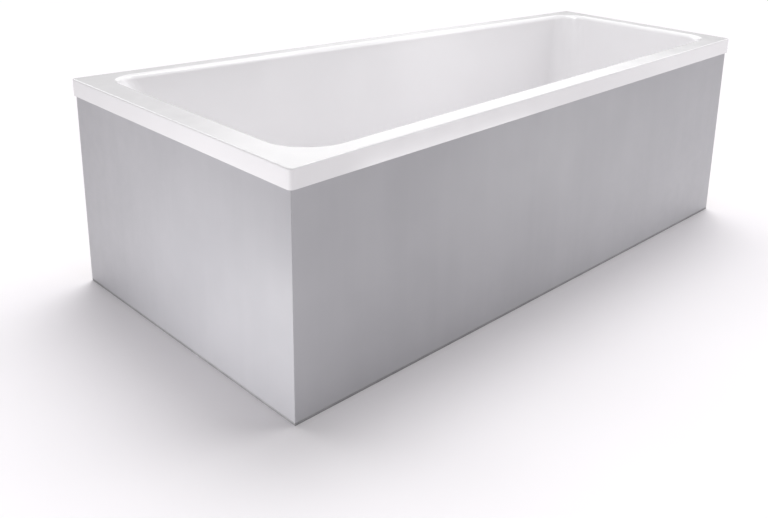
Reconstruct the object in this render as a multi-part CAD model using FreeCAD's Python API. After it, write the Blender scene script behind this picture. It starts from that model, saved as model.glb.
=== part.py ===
import FreeCAD, Part
import math
import os

from FreeCAD import Placement, Rotation, Vector

# A space-saving bathtub: an acrylic basin with a straight wall side and a slanted
# front, a wide end and a narrow end, closed at the front and at the wide end by two
# flat panels. Millimetres, +Z up, floor at Z = 0, origin under the centre of the rim.
# The straight wall side faces +Y, the narrow end faces +X.

# ---------------------------------------------------------------- the rim in plan
tub_length = 1700.0
wide_end_width = 900.0
narrow_end_width = 610.0
rim_height = 510.0
rim_band = 40.0
rim_corner_radius = 9.0
rim_edge_radius = 3.5
channel_corner_radius = 1.0
deck_front = 56.0
deck_narrow = 46.0
deck_back = 50.0
deck_wide = 68.0

# ---------------------------------------------------------------- the basin
skin = 5.0
floor_height = 135.0
lip_radius = 12.0
lean_front = 55.0
lean_narrow = 45.0
lean_back = 55.0
lean_wide = 190.0
top_radius_near = 88.0
top_radius_far = 64.0
bottom_radius = 105.0
floor_fillet = 50.0

# ---------------------------------------------------------------- backing, boards and battens
backing = 4.0
board_thickness = 16.0
board_margin = 6.0
board_gap_half = 70.0
batten_height = 18.0
batten_inset = 8.0

# ---------------------------------------------------------------- panels
panel_gap = 1.0
panel_thickness = 8.0
panel_overlap = 12.0
seal_height = 6.0
seal_inset = 0.5
rail_standoff = 4.0
rail_thickness = 2.0
rail_drop = 25.0
rail_depth = 20.0
rail_end_gap = 70.0
rail_screw_margin = 70.0
rail_screw_counts = (4, 2)
clip_length = 40.0
clip_thickness = 2.0
clip_reach = 16.0
clip_apron = 10.0
clip_margin = 240.0
clip_counts = (4, 2)
bracket_length = 36.0
bracket_thickness = 3.0
bracket_rise = 50.0
bracket_foot = 34.0
bracket_hole_radius = 3.0
bracket_hole_inset = 20.0
bracket_margin = 210.0
bracket_counts = (3, 2)
corner_leg = 30.0
corner_thickness = 3.0
corner_end_gap = 14.0
small_screw_radius = 1.75
small_screw_head_radius = 3.6
small_screw_head = 2.0
small_screw_length = 12.0

# ---------------------------------------------------------------- legs and their rails
leg_rail_wide_x = -400.0
leg_rail_narrow_x = 520.0
leg_rail_width = 40.0
leg_rail_height = 30.0
leg_rail_wall = 2.0
leg_rail_end_inset = 40.0
leg_inset = 68.0
rod_radius = 6.0
rod_rise = 38.0
pad_radius = 27.0
pad_plate = 6.0
pad_edge = 2.0
pad_hub_radius = 13.0
pad_hub_height = 22.0
pad_socket_floor = 8.0
nut_across_flats = 19.0
nut_height = 10.0
board_screw_radius = 2.5
board_screw_head_radius = 5.0
board_screw_head = 3.0
board_screw_length = 17.0
board_screw_spacing = 130.0
screw_clearance = 0.3
running_clearance = 0.05

# ---------------------------------------------------------------- wall anchors
anchor_back_spacing = 960.0
anchor_width = 30.0
anchor_thickness = 3.0
anchor_drop = 62.0
anchor_hole_radius = 3.5
anchor_hole_drop = 32.0

# ---------------------------------------------------------------- waste and overflow
waste_station = 930.0
drain_inset = 235.0
overflow_drop = 62.0
drain_hole_radius = 27.5
drain_recess_radius = 36.5
drain_recess = 2.0
flange_radius = 36.0
flange_bore = 24.0
sleeve_wall = 2.0
sleeve_length = 18.0
gasket_thickness = 2.0
cup_radius = 31.0
cup_wall = 4.7
cup_depth = 35.0
cup_floor = 3.0
cup_flange_radius = 40.0
cup_flange = 4.0
spigot_radius = 20.0
pipe_wall = 2.0
spigot_length = 15.0
spider_drop = 24.5
spider_thickness = 4.0
spider_hub_radius = 6.0
spider_hub_height = 7.0
spider_arm = 4.0
stem_radius = 3.0
stem_foot_round = 1.8
stem_collar_radius = 7.5
plug_lift = 8.0
plug_radius = 32.0
plug_cap = 4.5
plug_cap_round = 3.0
plug_seal_outer = 29.0
plug_seal_inner = 25.5
plug_seal = 1.5
seat_clearance = 0.2
lever_arm = 17.0
lever_drop = 40.0
lever_half_thickness = 2.0
lever_width = 8.0
lever_hub_radius = 4.5
lever_tip = 3.5
lever_tail = 7.0
lever_pin_radius = 2.0
lever_clearance = 0.4
branch_radius = 12.0
branch_wall = 2.0
branch_length = 18.0
branch_drop = 32.0
cable_radius = 2.5
wire_radius = 1.25
cable_boss_radius = 5.0
cable_boss_length = 8.0
cable_boss_drop = 42.0
cable_lead = 44.0
cable_bend_share = 0.45
union_radius = 27.0
union_height = 22.0
union_clearance = 0.3
union_grooves = 12
groove_radius = 3.0
groove_out = 1.0
trap_ground_gap = 6.0
trap_bend = 26.0
trap_run = 8.0
trap_rise = 14.0
trap_outlet = 40.0
outlet_end_gap = 10.0
socket_radius = 20.15
socket_length = 40.0
socket_wall = 3.0
outlet_nut_length = 26.0
hose_wall = 1.7
hose_gap = 1.0
hose_bend = 68.0
hose_clip_width = 9.0
hose_clip_wall = 1.2
hose_clip_block = 5.5
overflow_hole_radius = 26.0
overflow_gasket_outer = 36.0
overflow_flange = 4.0
overflow_cup_radius = 30.0
overflow_cup_wall = 2.5
overflow_cup_depth = 28.0
overflow_ring_radius = 34.0
overflow_ring_bore = 17.0
overflow_ring = 3.0
overflow_seal = 1.0
overflow_hub_radius = 9.0
overflow_arm = 5.0
overflow_arm_count = 3
pillar_radius = 4.5
pillar_place = 22.0
overflow_screw_radius = 2.0
overflow_screw_head_radius = 3.8
overflow_screw_head = 2.0
spindle_radius = 5.0
drum_radius = 13.0
drum_width = 6.0
drum_depth = 20.0
knob_radius = 37.0
knob_thickness = 8.0
knob_gap = 7.0
knob_edge = 2.5
grip_length = 54.0
grip_width = 10.0
grip_height = 11.0
grip_round = 2.5
knob_turn_degrees = 100.0

# ---------------------------------------------------------------- worked out from the sizes
half_length = tub_length / 2
basin_depth = rim_height - floor_height
front_slope = (wide_end_width - narrow_end_width) / tub_length
front_angle = math.atan(front_slope)
front_cos = math.cos(front_angle)
front_length = tub_length / front_cos
near_trim = rim_corner_radius * (1 / math.tan(math.pi / 4 - front_angle / 2) - 1)
wall_y = (wide_end_width - near_trim) / 2
near_y = wall_y - wide_end_width
along_front = Vector(front_cos, math.sin(front_angle), 0)
into_basin = Vector(-math.sin(front_angle), front_cos, 0)
near_corner = Vector(-half_length, near_y, 0)
up = Vector(0, 0, 1)

panel_face = skin + panel_gap
panel_back = panel_face + panel_thickness
panel_top = rim_height - rim_band + panel_overlap
batten_top = rim_height - skin
batten_bottom = batten_top - batten_height
rail_front = panel_back + rail_standoff
rail_bottom = batten_bottom - rail_drop
underside = floor_height - skin - backing
board_bottom = underside - board_thickness
leg_rail_bottom = board_bottom - leg_rail_height
lean_angle = math.atan(lean_front / basin_depth)
wall_stack = (skin + backing) * math.cos(lean_angle)
coincident = 0.001


# ---------------------------------------------------------------- plan geometry
def y_front(x, inset):
    """Where the slanted front side, drawn in by inset, lies at a given x."""
    return near_y + front_slope * (x + half_length) + inset / front_cos


def plan_corners(front, narrow, back, wide):
    """The four plan corners with each side drawn in by its own inset, from the near corner round."""
    x_wide = -half_length + wide
    x_narrow = half_length - narrow
    y_back = wall_y - back
    return [
        Vector(x_wide, y_front(x_wide, front), 0),
        Vector(x_narrow, y_front(x_narrow, front), 0),
        Vector(x_narrow, y_back, 0),
        Vector(x_wide, y_back, 0),
    ]


def front_point(station, inset, z):
    """A point at a distance along the front side, drawn in from it, at a height."""
    return near_corner + along_front * station + into_basin * inset + up * z


def wide_point(station, inset, z):
    """A point at a distance from the near corner along the wide end, drawn in from it."""
    return near_corner + Vector(inset, station, z)


def rounded_wire(corners, radii, z):
    """A closed outline of straight sides joined by tangent arcs, at height z."""
    bends = []
    for index, corner in enumerate(corners):
        to_before = (corners[index - 1] - corner).normalize()
        to_after = (corners[(index + 1) % len(corners)] - corner).normalize()
        half = to_before.getAngle(to_after) / 2
        middle = (to_before + to_after).normalize()
        reach = radii[index] / math.tan(half)
        centre = corner + middle * (radii[index] / math.sin(half))
        bends.append((corner + to_before * reach, centre - middle * radii[index], corner + to_after * reach))
    lift = up * z
    edges = []
    for index, (start, through, end) in enumerate(bends):
        edges.append(Part.makeLine(bends[index - 1][2] + lift, start + lift))
        edges.append(Part.Arc(start + lift, through + lift, end + lift).toShape())
    return Part.Wire(edges)


def prism(corners, z_low, z_high):
    """An upright prism on a plan outline with sharp corners."""
    ring = [Vector(point.x, point.y, z_low) for point in corners]
    face = Part.Face(Part.makePolygon(ring + ring[:1]))
    return face.extrude(up * (z_high - z_low))


def rounded_prism(corners, radius, z_low, z_high):
    """An upright prism on a plan outline with rounded corners."""
    face = Part.Face(rounded_wire(corners, [radius] * len(corners), z_low))
    return face.extrude(up * (z_high - z_low))


def strip(point, station_low, station_high, inset_low, inset_high, z_low, z_high):
    """A straight bar beside one side of the tub, placed by that side's point function."""
    corners = [
        point(station_low, inset_low, 0),
        point(station_high, inset_low, 0),
        point(station_high, inset_high, 0),
        point(station_low, inset_high, 0),
    ]
    return prism(corners, z_low, z_high)


def cylinder(radius, z_low, z_high, x=0.0, y=0.0):
    return Part.makeCylinder(radius, z_high - z_low, Vector(x, y, z_low))


def ring(outer, inner, z_low, z_high):
    return cylinder(outer, z_low, z_high).cut(cylinder(inner, z_low, z_high))


def joined(first, *others):
    """One solid from touching or overlapping ones, with no seams left on its flat faces."""
    return first.multiFuse(list(others)).removeSplitter()


def edges_on(shape, wire, reach=0.02):
    """The edges of a shape that lie along a given outline."""
    found = []
    for edge in shape.Edges:
        ends = [Part.Vertex(vertex.Point) for vertex in edge.Vertexes]
        middle = Part.Vertex(edge.valueAt((edge.FirstParameter + edge.LastParameter) / 2))
        if all(wire.distToShape(point)[0] < reach for point in ends + [middle]):
            found.append(edge)
    return found


def tube_path(points, bend):
    """Straight runs through the points, joined by tangent arcs of one radius."""
    edges = []
    last = points[0]
    for before, corner, after in zip(points, points[1:], points[2:]):
        to_before = (before - corner).normalize()
        to_after = (after - corner).normalize()
        half = to_before.getAngle(to_after) / 2
        middle = (to_before + to_after).normalize()
        start = corner + to_before * (bend / math.tan(half))
        end = corner + to_after * (bend / math.tan(half))
        through = corner + middle * (bend / math.sin(half) - bend)
        if (start - last).Length > coincident:
            edges.append(Part.makeLine(last, start))
        edges.append(Part.Arc(start, through, end).toShape())
        last = end
    edges.append(Part.makeLine(last, points[-1]))
    return Part.Wire(edges)


def round_bar(path, radius):
    """A round bar swept along a path."""
    start = path.Edges[0]
    centre = start.valueAt(start.FirstParameter)
    heading = start.tangentAt(start.FirstParameter)
    section = Part.Wire(Part.makeCircle(radius, centre, heading))
    return path.makePipeShell([section], True, False)


def round_tube(path, outer, inner):
    return round_bar(path, outer).cut(round_bar(path, inner))


def spread(length, count, margin):
    """Stations of evenly spaced pieces along a side, the outer two at a margin from its ends."""
    step = (length - 2 * margin) / (count - 1)
    return [margin + index * step for index in range(count)]


front_screws, wide_screws = [
    spread(length, count, rail_end_gap + rail_screw_margin)
    for length, count in zip((front_length, wide_end_width), rail_screw_counts)
]


# ---------------------------------------------------------------- basin, backing and boards
def basin_insets(z, growth):
    """How far each basin wall lies in from the rim's side at height z, grown outwards by growth."""
    share = (rim_height - z) / basin_depth
    decks = (deck_front, deck_narrow, deck_back, deck_wide)
    leans = (lean_front, lean_narrow, lean_back, lean_wide)
    return [deck + lean * share - growth for deck, lean in zip(decks, leans)]


def basin_top_wire(growth, z):
    near = top_radius_near + growth
    far = top_radius_far + growth
    return rounded_wire(plan_corners(*basin_insets(z, growth)), [near, far, far, far], z)


def basin_solid(growth):
    """The space of the basin, grown outwards by growth: leaning walls and a filleted floor."""
    bottom = floor_height - growth
    low = rounded_wire(plan_corners(*basin_insets(bottom, growth)), [bottom_radius + growth] * 4, bottom)
    solid = Part.makeLoft([basin_top_wire(growth, rim_height), low], True, True)
    return solid.makeFillet(floor_fillet + growth, edges_on(solid, low))


def make_tub_shell():
    outer = plan_corners(0, 0, 0, 0)
    rim = rounded_prism(outer, rim_corner_radius, rim_height - rim_band, rim_height)
    inside = plan_corners(skin, skin, skin, skin)
    channel = rounded_prism(inside, channel_corner_radius, rim_height - rim_band, rim_height - skin)
    shell = joined(rim.cut(channel), basin_solid(skin)).cut(basin_solid(0)).removeSplitter()
    shell = shell.makeFillet(lip_radius, edges_on(shell, basin_top_wire(0, rim_height)))
    under = edges_on(shell, basin_top_wire(skin, rim_height - skin), 1.0)
    shell = shell.makeFillet(lip_radius - skin, under)
    outline = rounded_wire(outer, [rim_corner_radius] * 4, rim_height)
    shell = shell.makeFillet(rim_edge_radius, edges_on(shell, outline))
    shell = shell.cut(at_drain(cylinder(drain_recess_radius, -drain_recess, skin)))
    shell = shell.cut(at_drain(cylinder(drain_hole_radius, -skin - backing, 0)))
    return shell.cut(at_overflow(cylinder(overflow_hole_radius, -wall_stack - skin, skin)))


def make_backing():
    """The glass-fibre layer on the outside of the basin, ending below the rim's underside."""
    layer = basin_solid(skin + backing).cut(basin_solid(skin))
    top = rim_height - lip_radius
    above = rounded_prism(plan_corners(0, 0, 0, 0), rim_corner_radius, top, rim_height + skin)
    layer = layer.cut(above)
    layer = layer.cut(at_drain(cylinder(drain_hole_radius, -2 * (skin + backing), 0)))
    return layer.cut(at_overflow(cylinder(overflow_hole_radius, -2 * wall_stack, skin)))


def board_outline():
    insets = [inset + floor_fillet + board_margin for inset in basin_insets(floor_height, 0)]
    return plan_corners(*insets)


def make_board(x_low, x_high, screws):
    """A chipboard base under the floor, between two x values, with pilot holes for its screws."""
    outline = board_outline()
    x_low = max(x_low, outline[0].x)
    x_high = min(x_high, outline[1].x)
    inset = basin_insets(floor_height, 0)[0] + floor_fillet + board_margin
    corners = [
        Vector(x_low, y_front(x_low, inset), 0),
        Vector(x_high, y_front(x_high, inset), 0),
        Vector(x_high, outline[2].y, 0),
        Vector(x_low, outline[2].y, 0),
    ]
    board = prism(corners, board_bottom, underside)
    pilot = board_screw_radius + running_clearance
    pilot_top = board_bottom - leg_rail_wall + board_screw_length + screw_clearance
    for x, y in screws:
        board = board.cut(cylinder(pilot, board_bottom, pilot_top, x, y))
    return board


def make_battens():
    """Four timber battens under the deck, mitred at the corners, drilled for the rails' screws."""
    outer = plan_corners(batten_inset, batten_inset, batten_inset, batten_inset)
    reach = skin + backing + lip_radius - skin
    decks = (deck_front, deck_narrow, deck_back, deck_wide)
    inner = plan_corners(*[deck - reach for deck in decks])
    names = ("front", "narrow_end", "back", "wide_end")
    battens = {}
    for index, name in enumerate(names):
        after = (index + 1) % 4
        corners = [outer[index], outer[after], inner[after], inner[index]]
        battens[name] = prism(corners, batten_bottom, batten_top)
    pilot = small_screw_radius + running_clearance
    drilled = (("front", front_point, front_screws), ("wide_end", wide_point, wide_screws))
    for name, point, stations in drilled:
        for station in stations:
            battens[name] = battens[name].cut(small_screw(point, station, pilot))
    return {"rim_batten_" + name: batten for name, batten in battens.items()}


# ---------------------------------------------------------------- panels and what holds them
def front_strip(inset_low, inset_high, z_low, z_high):
    """A board on the front, mitred at the near corner and cut square with the narrow end."""
    x_end = half_length - panel_face
    corners = [
        plan_corners(inset_low, 0, 0, inset_low)[0],
        Vector(x_end, y_front(x_end, inset_low), 0),
        Vector(x_end, y_front(x_end, inset_high), 0),
        plan_corners(inset_high, 0, 0, inset_high)[0],
    ]
    return prism(corners, z_low, z_high)


def wide_strip(inset_low, inset_high, z_low, z_high):
    """A board on the wide end, mitred at the near corner and ending short of the wall."""
    y_end = wall_y - panel_face
    corners = [
        plan_corners(inset_low, 0, 0, inset_low)[0],
        plan_corners(inset_high, 0, 0, inset_high)[0],
        Vector(-half_length + inset_high, y_end, 0),
        Vector(-half_length + inset_low, y_end, 0),
    ]
    return prism(corners, z_low, z_high)


def make_panel_rail(point, length, screw_stations):
    """An angle rail screwed under a batten: a flat flange and a hanging one that the clips hold."""
    start = rail_end_gap
    end = length - rail_end_gap
    low = batten_bottom - rail_thickness
    flat = strip(point, start, end, rail_front, rail_front + rail_depth, low, batten_bottom)
    hanging = strip(point, start, end, rail_front, rail_front + rail_thickness, rail_bottom, batten_bottom)
    rail = joined(flat, hanging)
    for station in screw_stations:
        rail = rail.cut(small_screw(point, station, small_screw_radius + screw_clearance))
    return rail


def small_screw_place(point, station):
    return point(station, rail_front + (rail_thickness + rail_depth) / 2, 0)


def small_screw(point, station, radius):
    """The shank of a screw that goes up through a rail into its batten."""
    place = small_screw_place(point, station)
    low = batten_bottom - rail_thickness
    return cylinder(radius, low, low + small_screw_length, place.x, place.y)


def make_small_screw(point, station):
    place = small_screw_place(point, station)
    low = batten_bottom - rail_thickness
    head = cylinder(small_screw_head_radius, low - small_screw_head, low, place.x, place.y)
    return joined(small_screw(point, station, small_screw_radius), head)


def make_clip(point, station):
    """A clip on the back of a panel whose jaw stands up behind the rail's hanging flange."""
    low = station - clip_length / 2
    high = station + clip_length / 2
    jaw_front = rail_front + rail_thickness
    jaw_back = jaw_front + clip_thickness
    bridge_top = rail_bottom - clip_thickness
    bridge_low = bridge_top - clip_thickness
    top = rail_bottom + clip_reach
    plate = strip(point, low, high, panel_back, panel_back + clip_thickness, bridge_low - clip_apron, top)
    bridge = strip(point, low, high, panel_back, jaw_back, bridge_low, bridge_top)
    jaw = strip(point, low, high, jaw_front, jaw_back, bridge_low, top)
    return joined(plate, bridge, jaw)


def make_bracket(point, station):
    """A floor angle behind the foot of a panel, with a screw hole in its base."""
    low = station - bracket_length / 2
    high = station + bracket_length / 2
    upright = strip(point, low, high, panel_back, panel_back + bracket_thickness, 0, bracket_rise)
    base = strip(point, low, high, panel_back, panel_back + bracket_foot, 0, bracket_thickness)
    place = point(station, panel_back + bracket_hole_inset, 0)
    return joined(upright, base).cut(cylinder(bracket_hole_radius, 0, bracket_thickness, place.x, place.y))


def make_corner_profile():
    """The angle strip inside the near corner that joins the backs of the two panels."""
    outer = plan_corners(panel_back, 0, 0, panel_back)[0]
    deep = panel_back + corner_thickness
    inner = plan_corners(deep, 0, 0, deep)[0]
    corners = [
        outer,
        outer + along_front * corner_leg,
        outer + along_front * corner_leg + into_basin * corner_thickness,
        inner,
        outer + Vector(corner_thickness, corner_leg, 0),
        outer + Vector(0, corner_leg, 0),
    ]
    return prism(corners, corner_end_gap, rail_bottom - corner_end_gap)


# ---------------------------------------------------------------- legs
def leg_rail_ends(x):
    return y_front(x, leg_rail_end_inset), wall_y - leg_rail_end_inset


def leg_places(x):
    return {"front": y_front(x, leg_inset), "back": wall_y - leg_inset}


def board_screw_places(x):
    """Four screws in two rows across the middle of a leg rail."""
    inset = basin_insets(floor_height, 0)[0] + floor_fillet + board_margin
    front = y_front(x, inset)
    middle = (front + board_outline()[2].y) / 2
    ys = (middle - board_screw_spacing / 2, middle + board_screw_spacing / 2)
    return [(x + side * leg_rail_width / 4, y) for y in ys for side in (-1, 1)]


def make_leg_rail(x):
    """A channel rail, open downwards, across the underside, drilled for two rods and four screws."""
    y_low, y_high = leg_rail_ends(x)
    half = leg_rail_width / 2
    length = y_high - y_low
    start = Vector(x - half, y_low, leg_rail_bottom)
    body = Part.makeBox(leg_rail_width, length, leg_rail_height, start)
    hollow_width = leg_rail_width - 2 * leg_rail_wall
    hollow_height = leg_rail_height - leg_rail_wall
    hollow = Part.makeBox(hollow_width, length, hollow_height, start + Vector(leg_rail_wall, 0, 0))
    rail = body.cut(hollow)
    for y in leg_places(x).values():
        rail = rail.cut(cylinder(rod_radius + running_clearance, leg_rail_bottom, board_bottom, x, y))
    for sx, sy in board_screw_places(x):
        rail = rail.cut(cylinder(board_screw_radius + screw_clearance, leg_rail_bottom, board_bottom, sx, sy))
    return rail


def make_board_screw(x, y):
    seat = board_bottom - leg_rail_wall
    head = cylinder(board_screw_head_radius, seat - board_screw_head, seat, x, y)
    return joined(head, cylinder(board_screw_radius, seat, seat + board_screw_length, x, y))


def make_rod(x, y):
    return cylinder(rod_radius, pad_socket_floor, board_bottom + rod_rise, x, y)


def make_pad(x, y):
    """A plastic foot: a broad plate and a hub with a blind socket for the rod."""
    plate = cylinder(pad_radius, 0, pad_plate, x, y)
    plate = plate.makeFillet(pad_edge, [plate.Edges[0]])
    hub = cylinder(pad_hub_radius, 0, pad_hub_height, x, y)
    socket = cylinder(rod_radius + running_clearance, pad_socket_floor, pad_hub_height, x, y)
    return joined(plate, hub).cut(socket)


def make_nut(x, y, z):
    """A hexagon nut with a running bore for the rod."""
    radius = nut_across_flats / 2 / math.cos(math.pi / 6)
    turns = [math.radians(60 * index) for index in range(6)]
    corners = [Vector(x + radius * math.cos(turn), y + radius * math.sin(turn), 0) for turn in turns]
    bore = cylinder(rod_radius + running_clearance, z, z + nut_height, x, y)
    return prism(corners, z, z + nut_height).cut(bore)


# ---------------------------------------------------------------- wall anchors
def make_anchor(to_wall, across, origin):
    """A steel hook on the wall: its upstand stands inside the rim and carries the batten."""
    shelf = rim_height - rim_band - anchor_thickness
    plate_low = shelf + anchor_thickness - anchor_drop
    hook_inset = batten_inset + anchor_thickness

    def slab(inset, depth, z_low, height):
        corner = Vector(-anchor_width / 2, -inset, z_low)
        return Part.makeBox(anchor_width, depth, height, corner)

    plate = slab(anchor_thickness, anchor_thickness, plate_low, anchor_drop)
    step = slab(hook_inset, hook_inset, shelf, anchor_thickness)
    upstand = slab(hook_inset, anchor_thickness, shelf, batten_bottom - shelf)
    hole_start = Vector(0, -anchor_thickness, shelf - anchor_hole_drop)
    hole = Part.makeCylinder(anchor_hole_radius, anchor_thickness, hole_start, Vector(0, 1, 0))
    hook = joined(plate, step, upstand).cut(hole)
    hook.Placement = Placement(origin, Rotation(across, to_wall, up, "ZXY"))
    return hook


# ---------------------------------------------------------------- the drain's own frame
drain_place = front_point(waste_station, drain_inset, floor_height)
drain_frame = Placement(drain_place, Rotation(along_front, into_basin, up, "ZXY"))
overflow_height = rim_height - overflow_drop
overflow_inset = deck_front + lean_front * overflow_drop / basin_depth
overflow_place = front_point(waste_station, overflow_inset, overflow_height)
overflow_axis = into_basin * math.cos(lean_angle) + up * math.sin(lean_angle)
up_the_wall = up * math.cos(lean_angle) - into_basin * math.sin(lean_angle)
overflow_frame = Placement(overflow_place, Rotation(along_front * -1, up_the_wall, overflow_axis, "ZXY"))


def at_drain(shape):
    """Moves a shape from the drain's frame (floor level, X along the front, Z up) to its place."""
    placed = shape.copy()
    placed.Placement = drain_frame.multiply(placed.Placement)
    return placed


def at_overflow(shape):
    """Moves a shape from the overflow's frame (Y up the wall, Z into the basin) to its place."""
    placed = shape.copy()
    placed.Placement = overflow_frame.multiply(placed.Placement)
    return placed


# Heights in the drain's frame, counted from the basin floor.
cup_top = -skin - backing - gasket_thickness
cup_bottom = cup_top - cup_depth
spigot_end = cup_bottom - cup_floor - spigot_length
lever_height = -lever_drop
stem_bottom = lever_height + lever_half_thickness + lever_clearance
plug_low = seat_clearance + plug_seal
lever_rise_degrees = math.degrees(math.atan((plug_lift - lever_clearance) / lever_arm))


def make_drain_flange():
    plate = cylinder(flange_radius, -drain_recess, 0)
    plate = plate.makeFillet(drain_recess / 2, [plate.Edges[0]])
    sleeve = cylinder(flange_bore + sleeve_wall, -drain_recess - sleeve_length, -drain_recess / 2)
    bore = cylinder(flange_bore, -drain_recess - sleeve_length, 0)
    return joined(plate, sleeve).cut(bore)


def make_drain_gasket():
    return ring(cup_flange_radius, drain_hole_radius, cup_top, cup_top + gasket_thickness)


def sideways(radius, length, direction, z, start=0.0):
    """A lying cylinder from the middle axis of a cup outwards, at height z."""
    return Part.makeCylinder(radius, length, direction * start + up * z, direction)


def make_drain_body():
    """The cup under the floor: flange, spider that guides the stem, outlet, hose branch, cable boss."""
    inner = cup_radius - cup_wall
    to_hose = Vector(0, -1, 0)
    to_cable = Vector(-1, 0, 0)
    branch_reach = cup_radius + branch_length
    boss_reach = cup_radius + cable_boss_length
    flange = cylinder(cup_flange_radius, cup_top - cup_flange, cup_top)
    cup = cylinder(cup_radius, cup_bottom - cup_floor, cup_top)
    spigot = cylinder(spigot_radius, spigot_end, cup_bottom)
    branch = sideways(branch_radius, branch_reach, to_hose, -branch_drop)
    boss = sideways(cable_boss_radius, boss_reach, to_cable, -cable_boss_drop)
    body = joined(flange, cup, spigot, branch, boss)
    body = body.cut(cylinder(inner, cup_bottom, cup_top))
    body = body.cut(cylinder(spigot_radius - pipe_wall, spigot_end, cup_bottom))
    body = body.cut(sideways(branch_radius - branch_wall, branch_reach, to_hose, -branch_drop))
    body = body.cut(sideways(wire_radius, boss_reach, to_cable, -cable_boss_drop))
    spider_low = -spider_drop - spider_thickness
    hub = cylinder(spider_hub_radius, spider_low, spider_low + spider_hub_height)
    arms = []
    for length, width in ((2 * inner, spider_arm), (spider_arm, 2 * inner)):
        corner = Vector(-length / 2, -width / 2, spider_low)
        arms.append(Part.makeBox(length, width, spider_thickness, corner))
    spider = joined(hub, *arms).common(cylinder(cup_radius - cup_wall / 2, cup_bottom, 0))
    body = joined(body, spider)
    body = body.cut(cylinder(stem_radius + running_clearance, cup_bottom, 0))
    return body.cut(make_lever_pin(0))


def lever_pin_length():
    inner = cup_radius - cup_wall
    return 2 * math.sqrt(inner ** 2 - lever_arm ** 2) + cup_wall


def make_lever_pin(clearance):
    """The pin that the lift lever turns on, held by both sides of the cup."""
    length = lever_pin_length()
    start = Vector(-lever_arm, -length / 2, lever_height)
    return Part.makeCylinder(lever_pin_radius + clearance, length, start, Vector(0, 1, 0))


def make_lift_lever():
    """The lever under the stem: a hub on its pin, an arm to the stem and a short tail for the cable."""
    half = lever_width / 2
    start = Vector(-lever_arm, -half, lever_height)
    hub = Part.makeCylinder(lever_hub_radius, lever_width, start, Vector(0, 1, 0))
    corner = Vector(-lever_arm - lever_tail, -half, lever_height - lever_half_thickness)
    arm = Part.makeBox(lever_tail + lever_arm + lever_tip, lever_width, 2 * lever_half_thickness, corner)
    return joined(hub, arm).cut(make_lever_pin(running_clearance))


def make_plug_cap():
    cap = cylinder(plug_radius, plug_low, plug_low + plug_cap)
    return cap.makeFillet(plug_cap_round, [cap.Edges[0]])


def make_plug_seal():
    return ring(plug_seal_outer, plug_seal_inner, seat_clearance, plug_low)


def make_plug_stem():
    """The stem under the plug, with a broad head that carries the cap and a rounded foot."""
    stem = cylinder(stem_radius, stem_bottom, plug_low)
    foot = [edge for edge in stem.Edges if edge.CenterOfMass.z < stem_bottom + coincident]
    stem = stem.makeFillet(stem_foot_round, foot)
    collar = cylinder(stem_collar_radius, plug_low - plug_seal, plug_low)
    return joined(stem, collar)


# ---------------------------------------------------------------- trap and outlet
trap_low = trap_ground_gap + spigot_radius
trap_top = floor_height + spigot_end
trap_out = trap_low + 2 * trap_bend + trap_rise
trap_reach = 2 * trap_bend + trap_run
trap_end_y = drain_place.y + trap_reach + trap_bend + trap_outlet


def trap_points():
    x, y = drain_place.x, drain_place.y
    return [
        Vector(x, y, trap_top),
        Vector(x, y, trap_low),
        Vector(x, y + trap_reach, trap_low),
        Vector(x, y + trap_reach, trap_out),
        Vector(x, trap_end_y, trap_out),
    ]


def make_trap():
    return round_tube(tube_path(trap_points(), trap_bend), spigot_radius, spigot_radius - pipe_wall)


def make_union_nut():
    """The ribbed nut that closes the joint between the drain body and the trap."""
    low = trap_top - union_height / 2
    x, y = drain_place.x, drain_place.y
    nut = cylinder(union_radius, low, low + union_height, x, y)
    for index in range(union_grooves):
        turn = 2 * math.pi * index / union_grooves
        groove_x = x + (union_radius + groove_out) * math.cos(turn)
        groove_y = y + (union_radius + groove_out) * math.sin(turn)
        nut = nut.cut(cylinder(groove_radius, low, low + union_height, groove_x, groove_y))
    return nut.cut(cylinder(spigot_radius + union_clearance, low, low + union_height, x, y))


def outlet_cylinder(radius, y_low, y_high):
    start = Vector(drain_place.x, y_low, trap_out)
    return Part.makeCylinder(radius, y_high - y_low, start, Vector(0, 1, 0))


def make_outlet_pipe():
    """The straight pipe to the wall, ending in a push-fit socket for the waste pipe there."""
    end = wall_y - outlet_end_gap
    pipe = outlet_cylinder(spigot_radius, trap_end_y, end)
    socket = outlet_cylinder(socket_radius + socket_wall, end - socket_length - socket_wall, end)
    pipe = joined(pipe, socket).cut(outlet_cylinder(spigot_radius - pipe_wall, trap_end_y, end))
    return pipe.cut(outlet_cylinder(socket_radius, end - socket_length, end))


def make_outlet_nut():
    low = trap_end_y - outlet_nut_length / 2
    high = low + outlet_nut_length
    bore = outlet_cylinder(spigot_radius + union_clearance, low, high)
    return outlet_cylinder(union_radius, low, high).cut(bore)


# ---------------------------------------------------------------- overflow
overflow_back = -wall_stack - gasket_thickness - overflow_cup_depth
hose_depth = overflow_back + overflow_cup_wall + branch_radius
overflow_front = overflow_seal + overflow_ring
knob_low = overflow_front + knob_gap
hose_radius = branch_radius + running_clearance + hose_wall
screw_low = hose_depth + branch_radius + pillar_radius


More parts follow.
